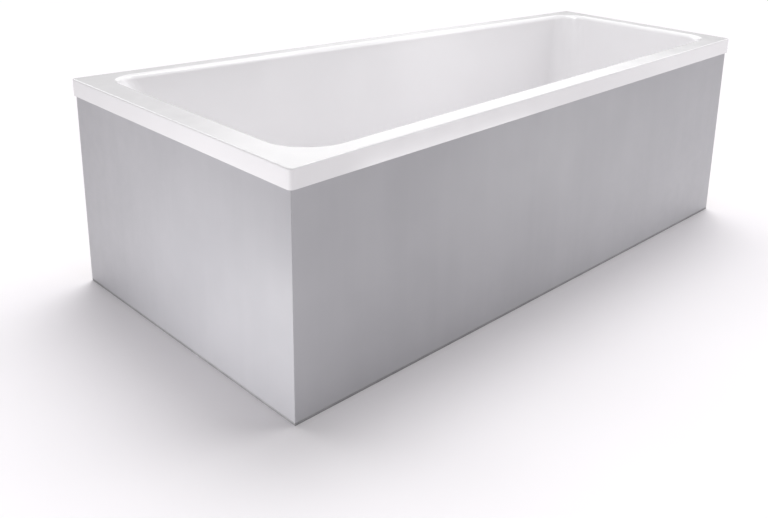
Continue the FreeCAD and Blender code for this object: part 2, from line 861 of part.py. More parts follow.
def make_overflow_body():
    """The cup behind the wall: flange, screw pillars, spindle boss, hose branch and cable boss."""
    top = -wall_stack - gasket_thickness
    inner = overflow_cup_radius - overflow_cup_wall
    floor_top = overflow_back + overflow_cup_wall
    to_hose = Vector(0, -1, 0)
    to_cable = Vector(1, 0, 0)
    branch_reach = overflow_cup_radius + branch_length
    boss_reach = overflow_cup_radius + cable_boss_length
    flange = cylinder(overflow_gasket_outer, top - overflow_flange, top)
    cup = cylinder(overflow_cup_radius, overflow_back, top)
    branch = sideways(branch_radius, branch_reach, to_hose, hose_depth)
    boss = sideways(cable_boss_radius, boss_reach, to_cable, -drum_depth)
    body = joined(flange, cup, branch, boss).cut(cylinder(inner, floor_top, top))
    body = body.cut(sideways(branch_radius - branch_wall, branch_reach, to_hose, hose_depth))
    body = body.cut(sideways(wire_radius, boss_reach, to_cable, -drum_depth))
    spindle_boss = cylinder(overflow_hub_radius, overflow_back, floor_top + overflow_cup_wall)
    pillar_low = hose_depth + branch_radius
    upper_pillar = cylinder(pillar_radius, overflow_back, top, 0, pillar_place)
    lower_pillar = cylinder(pillar_radius, pillar_low, top, 0, -pillar_place)
    ledge_corner = Vector(-pillar_radius, -inner, pillar_low)
    ledge_depth = inner - pillar_place + pillar_radius
    ledge = Part.makeBox(2 * pillar_radius, ledge_depth, pillar_radius / 2, ledge_corner)
    ledge = ledge.common(cylinder(overflow_cup_radius - overflow_cup_wall / 2, overflow_back, top))
    body = joined(body, spindle_boss, upper_pillar, lower_pillar, ledge)
    body = body.cut(cylinder(spindle_radius + running_clearance, floor_top - overflow_cup_wall / 2, top))
    for side in (-1, 1):
        body = body.cut(overflow_screw_shank(side, running_clearance))
    return body


def overflow_screw_shank(side, clearance):
    radius = overflow_screw_radius + clearance
    return cylinder(radius, screw_low, overflow_front, 0, side * pillar_place)


def make_overflow_screw(side):
    top = overflow_front + overflow_screw_head
    head = cylinder(overflow_screw_head_radius, overflow_front, top, 0, side * pillar_place)
    return joined(overflow_screw_shank(side, 0), head)


def make_overflow_gasket():
    return ring(overflow_gasket_outer, overflow_hole_radius, -wall_stack - gasket_thickness, -wall_stack)


def make_overflow_seal():
    return ring(overflow_ring_radius, overflow_hole_radius, 0, overflow_seal)


def make_overflow_ring():
    """The ring on the inside of the wall, with a hub on three arms that guides the spindle."""
    outer = ring(overflow_ring_radius, overflow_ring_bore, overflow_seal, overflow_front)
    hub = cylinder(overflow_hub_radius, overflow_seal, overflow_front)
    arms = []
    for index in range(overflow_arm_count):
        corner = Vector(-overflow_arm / 2, 0, overflow_seal)
        arm = Part.makeBox(overflow_arm, overflow_ring_bore + overflow_ring, overflow_ring, corner)
        arm.rotate(Vector(0, 0, 0), up, 360 * index / overflow_arm_count)
        arms.append(arm)
    body = joined(outer, hub, *arms)
    body = body.cut(cylinder(spindle_radius + running_clearance, overflow_seal, overflow_front))
    for side in (-1, 1):
        body = body.cut(overflow_screw_shank(side, screw_clearance))
    return body


def make_spindle():
    """The spindle between the knob and the back of the cup, with the drum that pulls the cable."""
    shaft = cylinder(spindle_radius, overflow_back + overflow_cup_wall, knob_low)
    drum = cylinder(drum_radius, -drum_depth - drum_width / 2, -drum_depth + drum_width / 2)
    return joined(shaft, drum)


def make_knob():
    """The round knob in front of the overflow, with a raised grip across its face."""
    face = knob_low + knob_thickness
    disc = cylinder(knob_radius, knob_low, face)
    rims = [edge for edge in disc.Edges if edge.Length > 2 * math.pi * knob_radius - coincident]
    disc = disc.makeFillet(knob_edge, rims)
    half = grip_width / 2
    straight = grip_length - grip_width
    low = knob_low + knob_edge
    top = face + grip_height
    bar = Part.makeBox(straight, grip_width, top - low, Vector(-straight / 2, -half, low))
    ends = [cylinder(half, low, top, side * straight / 2, 0) for side in (-1, 1)]
    grip = joined(bar, *ends)
    crest = [edge for edge in grip.Edges if edge.CenterOfMass.z > top - coincident]
    grip = grip.makeFillet(grip_round, crest)
    return joined(disc, grip)


# ---------------------------------------------------------------- hose and cable
def hose_points():
    """Down beside the wall from the overflow, then under the floor to the drain body."""
    start = overflow_frame.multVec(Vector(0, -overflow_gasket_outer - hose_gap, hose_depth))
    level = floor_height - branch_drop
    drop = start.z - level
    down_wall = up_the_wall * -1
    corner = start + down_wall * (drop / -down_wall.z)
    end = drain_frame.multVec(Vector(0, -cup_flange_radius - hose_gap, -branch_drop))
    return [start, corner, end]


def make_hose():
    path = tube_path(hose_points(), hose_bend)
    return round_tube(path, hose_radius, branch_radius + running_clearance)


def make_hose_clip(origin, direction, outwards):
    """A band round the end of the hose, with the block of its tightening screw on the outer side."""
    half = hose_clip_width / 2
    band = ring(hose_radius + hose_clip_wall, hose_radius, 0, hose_clip_width)
    block = Part.makeBox(hose_clip_width, hose_clip_block, hose_clip_width, Vector(-half, hose_radius, 0))
    clip = joined(band, block.cut(cylinder(hose_radius, 0, hose_clip_width)))
    clip.Placement = Placement(origin, Rotation(Vector(0, 0, 0), outwards, direction, "ZYX"))
    return clip


def make_hose_clips():
    points = hose_points()
    down_wall = up_the_wall * -1
    upper = make_hose_clip(points[0] + down_wall * hose_gap, down_wall, overflow_axis * -1)
    lower = make_hose_clip(points[2] - into_basin * hose_gap, into_basin * -1, up * -1)
    return [upper, lower]


# Stops along the cable: distance back along the front, inset, and share of the whole fall.
cable_stops = (
    (114.0, 50.0, 0.17),
    (118.0, 56.0, 0.36),
    (114.0, 64.0, 0.57),
    (110.0, 78.0, 0.78),
    (112.0, 116.0, 0.95),
    (120.0, 168.0, 1.0),
    (112.0, 216.0, 1.0),
)


def cable_points():
    """The sheathed cable from the overflow body's side to the drain body's side."""
    start = overflow_frame.multVec(Vector(overflow_cup_radius + cable_boss_length, 0, -drum_depth))
    end = drain_frame.multVec(Vector(-cup_radius - cable_boss_length, 0, -cable_boss_drop))
    stops = [
        front_point(waste_station - back, inset, start.z - share * (start.z - end.z))
        for back, inset, share in cable_stops
    ]
    lead = along_front * cable_lead
    return [start, start - lead, *stops, end - lead, end]


def make_cable():
    """Straight runs joined by arcs, each as large as its two runs allow."""
    points = cable_points()
    edges = []
    last = points[0]
    for before, corner, after in zip(points, points[1:], points[2:]):
        to_before = before - corner
        to_after = after - corner
        shorter = min(to_before.Length, to_after.Length)
        to_before.normalize()
        to_after.normalize()
        reach = cable_bend_share * shorter
        half = to_before.getAngle(to_after) / 2
        bend = reach * math.tan(half)
        middle = (to_before + to_after).normalize()
        through = corner + middle * (bend / math.sin(half) - bend)
        start = corner + to_before * reach
        edges.append(Part.makeLine(last, start))
        last = corner + to_after * reach
        edges.append(Part.Arc(start, through, last).toShape())
        print("cable bend radius %.0f mm" % bend)
    edges.append(Part.makeLine(last, points[-1]))
    path = Part.Wire(edges)
    cable = round_bar(path, cable_radius)
    share = cable.Volume / (math.pi * cable_radius ** 2 * path.Length)
    print("cable %.0f mm long, volume %.4f of its section times its length" % (path.Length, share))
    return cable


# ---------------------------------------------------------------- the nodes
def build():
    nodes = {"tub_shell": make_tub_shell(), "fibreglass_backing": make_backing()}
    rail_xs = {"wide": leg_rail_wide_x, "narrow": leg_rail_narrow_x}
    split_low = drain_place.x - board_gap_half
    split_high = drain_place.x + board_gap_half
    nodes["base_board_wide"] = make_board(-half_length, split_low, board_screw_places(leg_rail_wide_x))
    nodes["base_board_narrow"] = make_board(split_high, half_length, board_screw_places(leg_rail_narrow_x))
    nodes.update(make_battens())

    nuts = []
    board_screws = []
    for end, x in rail_xs.items():
        nodes["leg_rail_" + end] = make_leg_rail(x)
        for side, y in leg_places(x).items():
            nodes["leg_rod_%s_%s" % (end, side)] = make_rod(x, y)
            nodes["leg_pad_%s_%s" % (end, side)] = make_pad(x, y)
            nuts.append(make_nut(x, y, board_bottom))
            nuts.append(make_nut(x, y, board_bottom - leg_rail_wall - nut_height))
        board_screws += [make_board_screw(sx, sy) for sx, sy in board_screw_places(x)]
    nodes["leg_lock_nuts"] = Part.makeCompound(nuts)
    nodes["leg_rail_screws"] = Part.makeCompound(board_screws)

    nodes["front_panel"] = front_strip(panel_face, panel_back, seal_height, panel_top)
    nodes["end_panel"] = wide_strip(panel_face, panel_back, seal_height, panel_top)
    nodes["front_floor_seal"] = front_strip(panel_face + seal_inset, panel_back - seal_inset, 0, seal_height)
    nodes["end_floor_seal"] = wide_strip(panel_face + seal_inset, panel_back - seal_inset, 0, seal_height)
    nodes["front_panel_rail"] = make_panel_rail(front_point, front_length, front_screws)
    nodes["end_panel_rail"] = make_panel_rail(wide_point, wide_end_width, wide_screws)
    rail_screws = [make_small_screw(front_point, station) for station in front_screws]
    rail_screws += [make_small_screw(wide_point, station) for station in wide_screws]
    nodes["panel_rail_screws"] = Part.makeCompound(rail_screws)
    panel_sides = ((front_point, front_length), (wide_point, wide_end_width))
    clips = []
    brackets = []
    for (point, length), clip_count, bracket_count in zip(panel_sides, clip_counts, bracket_counts):
        clip_stations = spread(length, clip_count, clip_margin)
        bracket_stations = spread(length, bracket_count, bracket_margin)
        clips += [make_clip(point, station) for station in clip_stations]
        brackets += [make_bracket(point, station) for station in bracket_stations]
    nodes["panel_clips"] = Part.makeCompound(clips)
    nodes["panel_floor_brackets"] = Part.makeCompound(brackets)
    nodes["panel_corner_profile"] = make_corner_profile()

    across_back = Vector(1, 0, 0)
    to_back = Vector(0, 1, 0)
    anchors = []
    for side in (-1, 1):
        anchors.append(make_anchor(to_back, across_back, Vector(side * anchor_back_spacing / 2, wall_y, 0)))
    middle_of_end = Vector(half_length, wall_y - narrow_end_width / 2, 0)
    anchors.append(make_anchor(across_back, to_back * -1, middle_of_end))
    nodes["wall_anchors"] = Part.makeCompound(anchors)

    nodes["drain_flange"] = at_drain(make_drain_flange())
    nodes["drain_gasket"] = at_drain(make_drain_gasket())
    nodes["drain_body"] = at_drain(make_drain_body())
    nodes["lever_pin"] = at_drain(make_lever_pin(0))
    nodes["lift_lever"] = at_drain(make_lift_lever())
    nodes["plug_cap"] = at_drain(make_plug_cap())
    nodes["plug_seal"] = at_drain(make_plug_seal())
    nodes["plug_stem"] = at_drain(make_plug_stem())
    nodes["trap_union_nut"] = make_union_nut()
    nodes["trap"] = make_trap()
    nodes["outlet_nut"] = make_outlet_nut()
    nodes["outlet_pipe"] = make_outlet_pipe()

    nodes["overflow_body"] = at_overflow(make_overflow_body())
    nodes["overflow_gasket"] = at_overflow(make_overflow_gasket())
    nodes["overflow_front_seal"] = at_overflow(make_overflow_seal())
    nodes["overflow_ring"] = at_overflow(make_overflow_ring())
    nodes["overflow_screws"] = Part.makeCompound([at_overflow(make_overflow_screw(side)) for side in (-1, 1)])
    nodes["overflow_spindle"] = at_overflow(make_spindle())
    nodes["overflow_knob"] = at_overflow(make_knob())
    nodes["overflow_hose"] = make_hose()
    nodes["hose_clips"] = Part.makeCompound(make_hose_clips())
    nodes["plug_cable"] = make_cable()
    return nodes


nodes = build()
movement = (knob_turn_degrees, lever_rise_degrees, plug_lift)
print("knob turns %.1f degrees, lever %.4f, plug lifts %.1f mm" % movement)
os.makedirs("parts", exist_ok=True)
for name, shape in nodes.items():
    solids = shape.Solids
    print("%-24s %d solid(s) %12.1f mm3 valid %s" % (name, len(solids), shape.Volume, shape.isValid()))
    (solids[0] if len(solids) == 1 else Part.makeCompound(solids)).exportStep("parts/%s.step" % name)
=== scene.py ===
# %% [markdown]
# # A space-saving bathtub, dressed for its picture
# The solids of this tub come from a CAD program: a white acrylic shell with two flat
# grey panels, and under the rim all that carries, drains and levels it. This lesson
# keeps those solids as they are, gives each of them a finish of its own, and swaps the
# few whose real surface is richer than a plain solid, such as threads and ribs.

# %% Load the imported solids
import math

import bmesh
import bpy
from mathutils import Matrix, Vector
from mathutils import noise as clouds


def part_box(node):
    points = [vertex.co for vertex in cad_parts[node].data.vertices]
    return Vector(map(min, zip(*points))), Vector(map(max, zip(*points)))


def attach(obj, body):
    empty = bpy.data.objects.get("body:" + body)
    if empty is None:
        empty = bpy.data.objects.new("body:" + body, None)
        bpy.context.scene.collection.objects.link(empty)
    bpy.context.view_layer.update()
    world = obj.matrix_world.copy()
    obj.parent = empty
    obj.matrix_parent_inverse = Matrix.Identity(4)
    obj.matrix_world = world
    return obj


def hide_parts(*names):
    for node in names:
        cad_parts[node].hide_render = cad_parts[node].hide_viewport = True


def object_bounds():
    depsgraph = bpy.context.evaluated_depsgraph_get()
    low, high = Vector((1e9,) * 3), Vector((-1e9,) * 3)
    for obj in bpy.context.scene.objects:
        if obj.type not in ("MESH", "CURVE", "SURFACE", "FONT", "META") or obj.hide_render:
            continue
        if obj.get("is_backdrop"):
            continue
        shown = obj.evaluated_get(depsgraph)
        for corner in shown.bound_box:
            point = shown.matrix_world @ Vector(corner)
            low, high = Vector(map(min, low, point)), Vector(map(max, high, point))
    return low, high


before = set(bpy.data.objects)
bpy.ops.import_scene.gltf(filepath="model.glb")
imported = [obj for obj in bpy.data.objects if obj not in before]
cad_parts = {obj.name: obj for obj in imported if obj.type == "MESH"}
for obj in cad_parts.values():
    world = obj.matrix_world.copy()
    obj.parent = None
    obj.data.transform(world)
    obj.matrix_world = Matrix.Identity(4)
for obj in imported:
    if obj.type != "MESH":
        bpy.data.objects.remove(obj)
cad_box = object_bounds()
print("solids:", len(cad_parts), "box:", [[round(v, 4) for v in corner] for corner in cad_box])

# %% [markdown]
# ## The camera
# The tub was photographed from above its near corner, a little nearer to the wide end.
# The picture's upright edges stay almost upright, as with a lens that is slid upwards
# instead of tilted, so a small part of the framing is done with the lens shift.

# %% Place the camera
PICTURE_WIDTH = 768
SENSOR = 36.0
eye = Vector((-1.8479, -1.9268, 1.058))
heading = 0.9048
tilt = 0.3532
roll = 0.0060
focal_pixels = 1082.2

forward = Matrix.Rotation(heading, 3, "Z") @ Vector((math.cos(tilt), 0.0, -math.sin(tilt)))
turned = forward.to_track_quat("-Z", "Y").to_matrix() @ Matrix.Rotation(roll, 3, "Z")
lens_data = bpy.data.cameras.new("studio_camera")
lens_data.sensor_width = SENSOR
lens_data.lens = focal_pixels / PICTURE_WIDTH * SENSOR
lens_data.shift_x = 0.0265
lens_data.shift_y = -0.04
camera = bpy.data.objects.new("studio_camera", lens_data)
camera.matrix_world = Matrix.Translation(eye) @ turned.to_4x4()
bpy.context.scene.collection.objects.link(camera)
bpy.context.scene.camera = camera
print("lens %.1f mm, shift %.3f %.3f" % (lens_data.lens, lens_data.shift_x, lens_data.shift_y))

# %% [markdown]
# ## Floor and light
# A tub on a white sweep: the floor runs on past the picture's edges, and soft skies and
# large lamps leave no hard shadow anywhere. A photographer would set up black flags, so
# that a lamp for the panels doesn't wash out the shadow on the floor. Light linking
# does the same here: a collection says what a lamp may reach. The world gives a weak
# light from all around, and the camera sees it as a white wall behind the floor.

# %% Lay the floor
scene = bpy.context.scene
scene.view_settings.view_transform = "Standard"
scene.view_settings.look = "None"

FLOOR_REACH = 30.0
floor_corners = [(x * FLOOR_REACH, y * FLOOR_REACH, 0) for x, y in ((-1, -1), (1, -1), (1, 1), (-1, 1))]
floor_mesh = bpy.data.meshes.new("studio_floor")
floor_mesh.from_pydata(floor_corners, [], [(0, 1, 2, 3)])
studio_floor = bpy.data.objects.new("studio_floor", floor_mesh)
scene.collection.objects.link(studio_floor)
studio_floor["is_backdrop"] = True


def flagged(name, state):
    """What a lamp may reach: only the floor, or all but the floor."""
    lit = bpy.data.collections.new(name)
    lit.objects.link(studio_floor)
    lit.collection_objects[0].light_linking.link_state = state
    return lit


FLOOR = flagged("only_the_floor", "INCLUDE")
TUB = flagged("all_but_the_floor", "EXCLUDE")


# %% Hang the lights
def hang(data, name, reached):
    lamp = bpy.data.objects.new(name, data)
    lamp.light_linking.receiver_collection = reached
    scene.collection.objects.link(lamp)
    return lamp


def softbox(name, place, target, size, power):
    """A large soft lamp for the tub at a place, turned towards a target."""
    data = bpy.data.lights.new(name, "AREA")
    data.shape = "RECTANGLE"
    data.size, data.size_y = size
    data.energy = power
    lamp = hang(data, name, TUB)
    lamp.location = place
    lamp.rotation_euler = (Vector(target) - Vector(place)).to_track_quat("-Z", "Y").to_euler()
    lamp.visible_camera = False


def sky(name, direction, strength, spread, reached):
    """An even light from far away, as soft as a ceiling that spans that many degrees."""
    data = bpy.data.lights.new(name, "SUN")
    data.energy = strength
    data.angle = math.radians(spread)
    hang(data, name, reached).rotation_euler = Vector(direction).to_track_quat("-Z", "Y").to_euler()


def white_world(light, wall):
    """A white world of one strength as a light, and of another where the camera sees it."""
    world = bpy.data.worlds.new("white_studio")
    world.use_nodes = True
    nodes, links = world.node_tree.nodes, world.node_tree.links
    backdrop = nodes["Background"]
    backdrop.inputs["Color"].default_value = (1.0, 1.0, 1.0, 1.0)
    strength = nodes.new("ShaderNodeMapRange")
    strength.inputs["To Min"].default_value = light
    strength.inputs["To Max"].default_value = wall
    links.new(nodes.new("ShaderNodeLightPath").outputs["Is Camera Ray"], strength.inputs["Value"])
    links.new(strength.outputs["Result"], backdrop.inputs["Strength"])
    return world


scene.world = white_world(0.28, 1.1)

sky("floor_sky_from_narrow_end", (-0.5, -0.1, -0.86), 1.40, 50, FLOOR)
sky("floor_sky_from_wall_side", (-0.1, -0.5, -0.86), 1.08, 50, FLOOR)
sky("floor_sky_from_far_corner", (-0.45, -0.45, -0.77), 0.58, 40, FLOOR)
sky("tub_sky_from_wall_side", (-0.1, -0.5, -0.86), 0.20, 38, TUB)
sky("tub_sky_from_wide_end", (0.8, 0.0, -0.6), 0.25, 40, TUB)
sky("low_sky_from_narrow_end", (-0.87, 0.0, -0.5), 0.40, 40, TUB)
sky("low_sky_from_wall_side", (0.0, -0.87, -0.5), 0.65, 40, TUB)
sky("low_sky_from_far_corner", (-0.6, -0.6, -0.5), 0.34, 40, TUB)
sky("low_sky_from_front", (-0.5, 0.7, -0.5), 0.56, 40, TUB)
softbox("left_softbox", (-1.70, -0.42, 0.18), (-0.85, -0.42, 0.18), (0.5, 0.36), 0.6)
softbox("left_strip_near", (-1.35, -0.72, 0.07), (-0.85, -0.40, 0.09), (0.45, 0.10), 1.1)
softbox("left_strip_middle", (-1.45, -0.15, 0.07), (-0.85, -0.10, 0.09), (0.7, 0.10), 3.0)
softbox("right_softbox", (1.6, -1.8, 0.22), (0.8, -0.2, 0.2), (0.9, 0.4), 5.0)
softbox("front_strip_far", (0.75, -0.95, 0.07), (0.60, -0.20, 0.09), (0.9, 0.10), 1.06)
softbox("basin_softbox", (0.0, 0.1, 2.0), (0.0, 0.1, 0.0), (1.6, 0.5), 22.8)
softbox("end_wall_lamp", (0.2, 0.1, 0.9), (0.8, 0.1, 0.45), (0.3, 0.5), 0.73)
print("lights:", len(bpy.data.lights))

# %% [markdown]
# ## A short way to write shader maths
# A material is a tree of nodes. Written out node by node even a simple pattern takes a
# page, so one small class wraps a socket: sums and products of wires add Math nodes,
# and every other node comes from one method.


# %% Wrap a socket
class Wire:
    """One output of a node, so that patterns can be written as sums and products."""

    def __init__(self, socket):
        self.socket = socket
        self.tree = socket.id_data

    def node(self, kind, settings=(), inputs=(), output=0):
        """Adds a node: first its settings, then the values or links of its sockets."""
        made = self.tree.nodes.new(kind)
        for name, value in dict(settings).items():
            setattr(made, name, value)
        for name, value in dict(inputs).items():
            if isinstance(value, Wire):
                self.tree.links.new(value.socket, made.inputs[name])
            else:
                made.inputs[name].default_value = value
        return Wire(made.outputs[output])

    def maths(self, operation, first, second=0.0):
        return self.node("ShaderNodeMath", {"operation": operation}, {0: first, 1: second})

    def __add__(self, other):
        return self.maths("ADD", self, other)

    __radd__ = __add__

    def __sub__(self, other):
        return self.maths("SUBTRACT", self, other)

    def __rsub__(self, other):
        return self.maths("SUBTRACT", other, self)

    def __mul__(self, other):
        return self.maths("MULTIPLY", self, other)

    __rmul__ = __mul__

    def feed(self, shader, socket):
        """Links this wire to a socket of a shader."""
        self.tree.links.new(self.socket, shader.inputs[socket])


def shaped(wire, low, high, out_low=0.0, out_high=1.0):
    """Maps a range of a pattern to another one, and clamps it there."""
    inputs = {"Value": wire, "From Min": low, "From Max": high, "To Min": out_low, "To Max": out_high}
    return wire.node("ShaderNodeMapRange", {"interpolation_type": "SMOOTHSTEP"}, inputs)


def noise(place, scale, detail=2.0, roughness=0.5):
    inputs = {"Vector": place, "Scale": scale, "Detail": detail, "Roughness": roughness}
    return place.node("ShaderNodeTexNoise", {}, inputs)


def cells(place, scale, output="Distance"):
    return place.node("ShaderNodeTexVoronoi", {}, {"Vector": place, "Scale": scale}, output)


def chips(place, scale):
    """A number from 0 to 1 for each cell of a mosaic."""
    shade = cells(place, scale, output="Color")
    return shade.node("ShaderNodeSeparateColor", {}, {"Color": shade}, "Red")


def stretched(place, lengths, turn=(0.0, 0.0, 0.0)):
    """The place in a turned frame where a pattern is drawn out so many times along each axis."""
    settings = {"vector_type": "TEXTURE"}
    return place.node("ShaderNodeMapping", settings, {"Vector": place, "Rotation": turn, "Scale": lengths})


def blended(factor, first, second):
    """A colour between two others. A Mix node has its colours on sockets 6 and 7."""
    colours = [shade if isinstance(shade, Wire) else (*shade, 1.0) for shade in (first, second)]
    return factor.node("ShaderNodeMix", {"data_type": "RGBA"}, {0: factor, 6: colours[0], 7: colours[1]}, 2)


def bumped(height, depth, strength=1.0):
    """A bump of a given depth in metres where the height goes from 0 to 1."""
    return height.node("ShaderNodeBump", {}, {"Height": height, "Distance": depth, "Strength": strength})


def finish(name, **constants):
    """A new material, its shader with the values that are even all over, and its coordinates."""
    material = bpy.data.materials.new(name)
    material.use_nodes = True
    shader = material.node_tree.nodes["Principled BSDF"]
    for socket, value in constants.items():
        shader.inputs[socket.replace("_", " ").title().replace("Ior", "IOR")].default_value = value
    place = Wire(material.node_tree.nodes.new("ShaderNodeTexCoord").outputs["Object"])
    return material, shader, place


# %% [markdown]
# ## White acrylic
# Sanitary acrylic is a thick cast sheet, heated and sucked over a mould. Its colour is a
# clean white, its gloss is deep, and its surface has the faint long waves that the
# mould and the cooling leave, so a reflection in it is never ruler-straight.


# %% Acrylic
def acrylic_finish():
    material, shader, place = finish("acrylic", coat_weight=0.3, coat_roughness=0.1)
    waves = noise(place, 9.0, 2.0)
    peel = noise(place, 420.0, 1.0)
    haze = noise(place, 26.0, 3.0, 0.6)
    tint = shaped(noise(place, 3.5, 2.0), 0.3, 0.7)
    blended(tint, (0.738, 0.726, 0.741), (0.762, 0.750, 0.765)).feed(shader, "Base Color")
    shaped(haze, 0.3, 0.75, 0.13, 0.22).feed(shader, "Roughness")
    bumped(waves + 0.03 * peel, 0.0011, 0.5).feed(shader, "Normal")
    return material


# %% [markdown]
# ## Satin grey panels
# The panels are lacquered boards. Sprayed lacquer has a fine even grain that takes the
# sharpness out of reflections, with a slightly cloudy gloss over a hand's width. The
# gun moves up and down, which leaves very faint upright bands.


# %% Panel lacquer
def panel_finish():
    material, shader, place = finish("panel_lacquer", specular_ior_level=0.45)
    grain = noise(place, 1500.0, 2.0, 0.6)
    bands = noise(stretched(place, (1.0, 1.0, 30.0)), 26.0, 3.0)
    tone = shaped(noise(place, 5.0, 3.0, 0.55) + 0.12 * grain + 0.35 * bands, 0.5, 1.0)
    blended(tone, (0.384, 0.379, 0.401), (0.409, 0.404, 0.426)).feed(shader, "Base Color")
    shaped(noise(place, 40.0, 3.0), 0.3, 0.75, 0.40, 0.48).feed(shader, "Roughness")
    bumped(grain + 2.0 * noise(place, 160.0, 2.0), 0.00006).feed(shader, "Normal")
    return material


# %% [markdown]
# ## Sprayed glass fibre
# The outside of the basin is stiffened with resin and chopped strands out of a spray
# gun. The strands lie flat in every direction, half drowned in cream-coloured resin.
# Three sheets of long thin noise, each turned another way, make strands that cross.


# %% Glass fibre and resin
def glass_fibre_finish():
    material, shader, place = finish(
        "glass_fibre", specular_ior_level=0.5, coat_weight=0.25, coat_roughness=0.2
    )
    sheets = []
    for turn in ((0.3, 0.2, 0.4), (0.9, -0.5, 1.5), (-0.6, 0.8, 2.5)):
        sheets.append(shaped(noise(stretched(place, (34.0, 1.0, 1.0), turn), 760.0, 1.0), 0.52, 0.70))
    strands = sheets[0] + sheets[1] + sheets[2]
    pools = shaped(noise(place, 34.0, 3.0, 0.6), 0.35, 0.7)
    cover = blended(pools, (0.56, 0.53, 0.42), (0.70, 0.67, 0.56))
    blended(shaped(strands, 0.2, 1.6), cover, (0.80, 0.78, 0.70)).feed(shader, "Base Color")
    shaped(strands + pools, 0.0, 2.2, 0.32, 0.62).feed(shader, "Roughness")
    bumped(0.35 * strands + pools, 0.0012, 0.8).feed(shader, "Normal")
    return material


# %% [markdown]
# ## Boards and battens
# The base boards are chipboard: flat chips, each with its own tone, pressed in glue.
# A mosaic pattern gives every cell its own number, and so every chip its own shade. The
# battens are sawn softwood, whose rings become long stripes along each batten.


# %% Chipboard
def chipboard_finish():
    material, shader, place = finish("chipboard", specular_ior_level=0.3)
    coarse = chips(stretched(place, (2.4, 1.0, 0.5), (0.0, 0.0, 0.7)), 190.0)
    fine = chips(stretched(place, (1.0, 2.2, 0.5), (0.0, 0.0, 0.3)), 420.0)
    shade = 0.6 * coarse + 0.4 * fine
    warm = blended(shade, (0.36, 0.235, 0.125), (0.66, 0.49, 0.31))
    dust = shaped(noise(place, 60.0, 3.0, 0.65), 0.5, 0.8, 0.0, 0.35)
    blended(dust, warm, (0.70, 0.60, 0.45)).feed(shader, "Base Color")
    shaped(shade, 0.0, 1.0, 0.62, 0.85).feed(shader, "Roughness")
    bumped(shade + noise(place, 900.0, 2.0), 0.0003, 0.8).feed(shader, "Normal")
    return material


# %% Timber, with its grain along a batten
def timber_finish(name, turn):
    material, shader, place = finish(name, specular_ior_level=0.3)
    along = stretched(place, (28.0, 1.0, 1.0), (0.0, 0.0, turn))
    rings = noise(along, 95.0, 2.0, 0.55)
    fibre = noise(along, 1100.0, 2.0, 0.6)
    bands = shaped(rings, 0.42, 0.60)
    pale = blended(bands, (0.70, 0.52, 0.32), (0.52, 0.33, 0.16))
    blended(shaped(fibre, 0.35, 0.75, 0.0, 0.5), pale, (0.78, 0.62, 0.42)).feed(shader, "Base Color")
    shaped(fibre + bands, 0.2, 1.6, 0.55, 0.78).feed(shader, "Roughness")
    bumped(fibre + 0.6 * bands, 0.00035, 0.8).feed(shader, "Normal")
    return material


# %% [markdown]
# ## Metals
# Zinc-plated steel shows crystals of slightly different brightness and light scratches.
# Extruded aluminium has lines along its length, turned brass and steel have lines
# around it, and chrome is nearly a mirror, broken by dried drops and finger marks.


# %% Zinc-plated steel
def zinc_finish():
    material, shader, place = finish("zinc_plated_steel", metallic=1.0)
    crystals = chips(place, 240.0)
    scratches = noise(stretched(place, (1.0, 18.0, 6.0), (0.2, 0.4, 0.9)), 700.0, 2.0)
    tone = 0.7 * crystals + 0.5 * scratches
    blended(tone, (0.50, 0.515, 0.53), (0.70, 0.71, 0.72)).feed(shader, "Base Color")
    shaped(tone + noise(place, 30.0, 3.0), 0.5, 1.6, 0.27, 0.46).feed(shader, "Roughness")
    bumped(0.3 * crystals + scratches, 0.00008, 0.6).feed(shader, "Normal")
    return material


# %% Metals with lines
def lined_metal_finish(name, dark, light, rough, lengths, turn, scale=900.0):
    """A metal whose fine lines are drawn out by those lengths in a turned frame."""
    material, shader, place = finish(name, metallic=1.0)
    lines = noise(stretched(place, lengths, turn), scale, 3.0, 0.6)
    tarnish = noise(place, 48.0, 3.0, 0.6)
    blended(shaped(0.6 * lines + 0.5 * tarnish, 0.3, 0.8), dark, light).feed(shader, "Base Color")
    shaped(lines + tarnish, 0.6, 1.4, *rough).feed(shader, "Roughness")
    bumped(lines, 0.00005, 0.7).feed(shader, "Normal")
    return material


# %% Chrome
def chrome_finish():
    material, shader, place = finish("chrome", metallic=1.0)
    smears = noise(stretched(place, (1.0, 3.0, 1.0), (0.3, 0.2, 0.8)), 70.0, 4.0, 0.65)
    drops = shaped(cells(place, 260.0), 0.10, 0.22)
    dried = 1 - drops
    blended(shaped(smears, 0.35, 0.7), (0.80, 0.81, 0.82), (0.88, 0.885, 0.89)).feed(shader, "Base Color")
    (shaped(smears, 0.35, 0.75, 0.035, 0.11) + 0.10 * dried).feed(shader, "Roughness")
    bumped(noise(place, 30.0, 1.0), 0.00004, 0.4).feed(shader, "Normal")
    return material


# %% [markdown]
# ## Plastics and rubber
# Moulded plastic is never quite even: the tool leaves a fine grain, the flow of the
# plastic leaves clouds, and dust settles in it. One recipe with other numbers serves
# the waste, the clips, the feet and the lever. Extruded pipe and cable get lines along
# their length, and rubber gets a dull bloom.


# %% One recipe for plastic and rubber
def moulded_finish(name, dark, light, rough, grain=900.0, depth=0.00008, coat=0.0):
    material, shader, place = finish(name, specular_ior_level=0.5, coat_weight=coat, coat_roughness=0.12)
    skin = noise(place, grain, 2.0, 0.6)
    flow = noise(stretched(place, (1.0, 1.0, 2.5), (0.5, 0.3, 0.0)), 32.0, 3.0, 0.55)
    specks = shaped(cells(place, 620.0), 0.05, 0.16)
    tone = shaped(flow + 0.3 * skin, 0.35, 0.95)
    blended(tone * (0.75 + 0.25 * specks), dark, light).feed(shader, "Base Color")
    shaped(flow + 0.6 * skin, 0.4, 1.2, *rough).feed(shader, "Roughness")
    bumped(skin, depth, 0.8).feed(shader, "Normal")
    return material


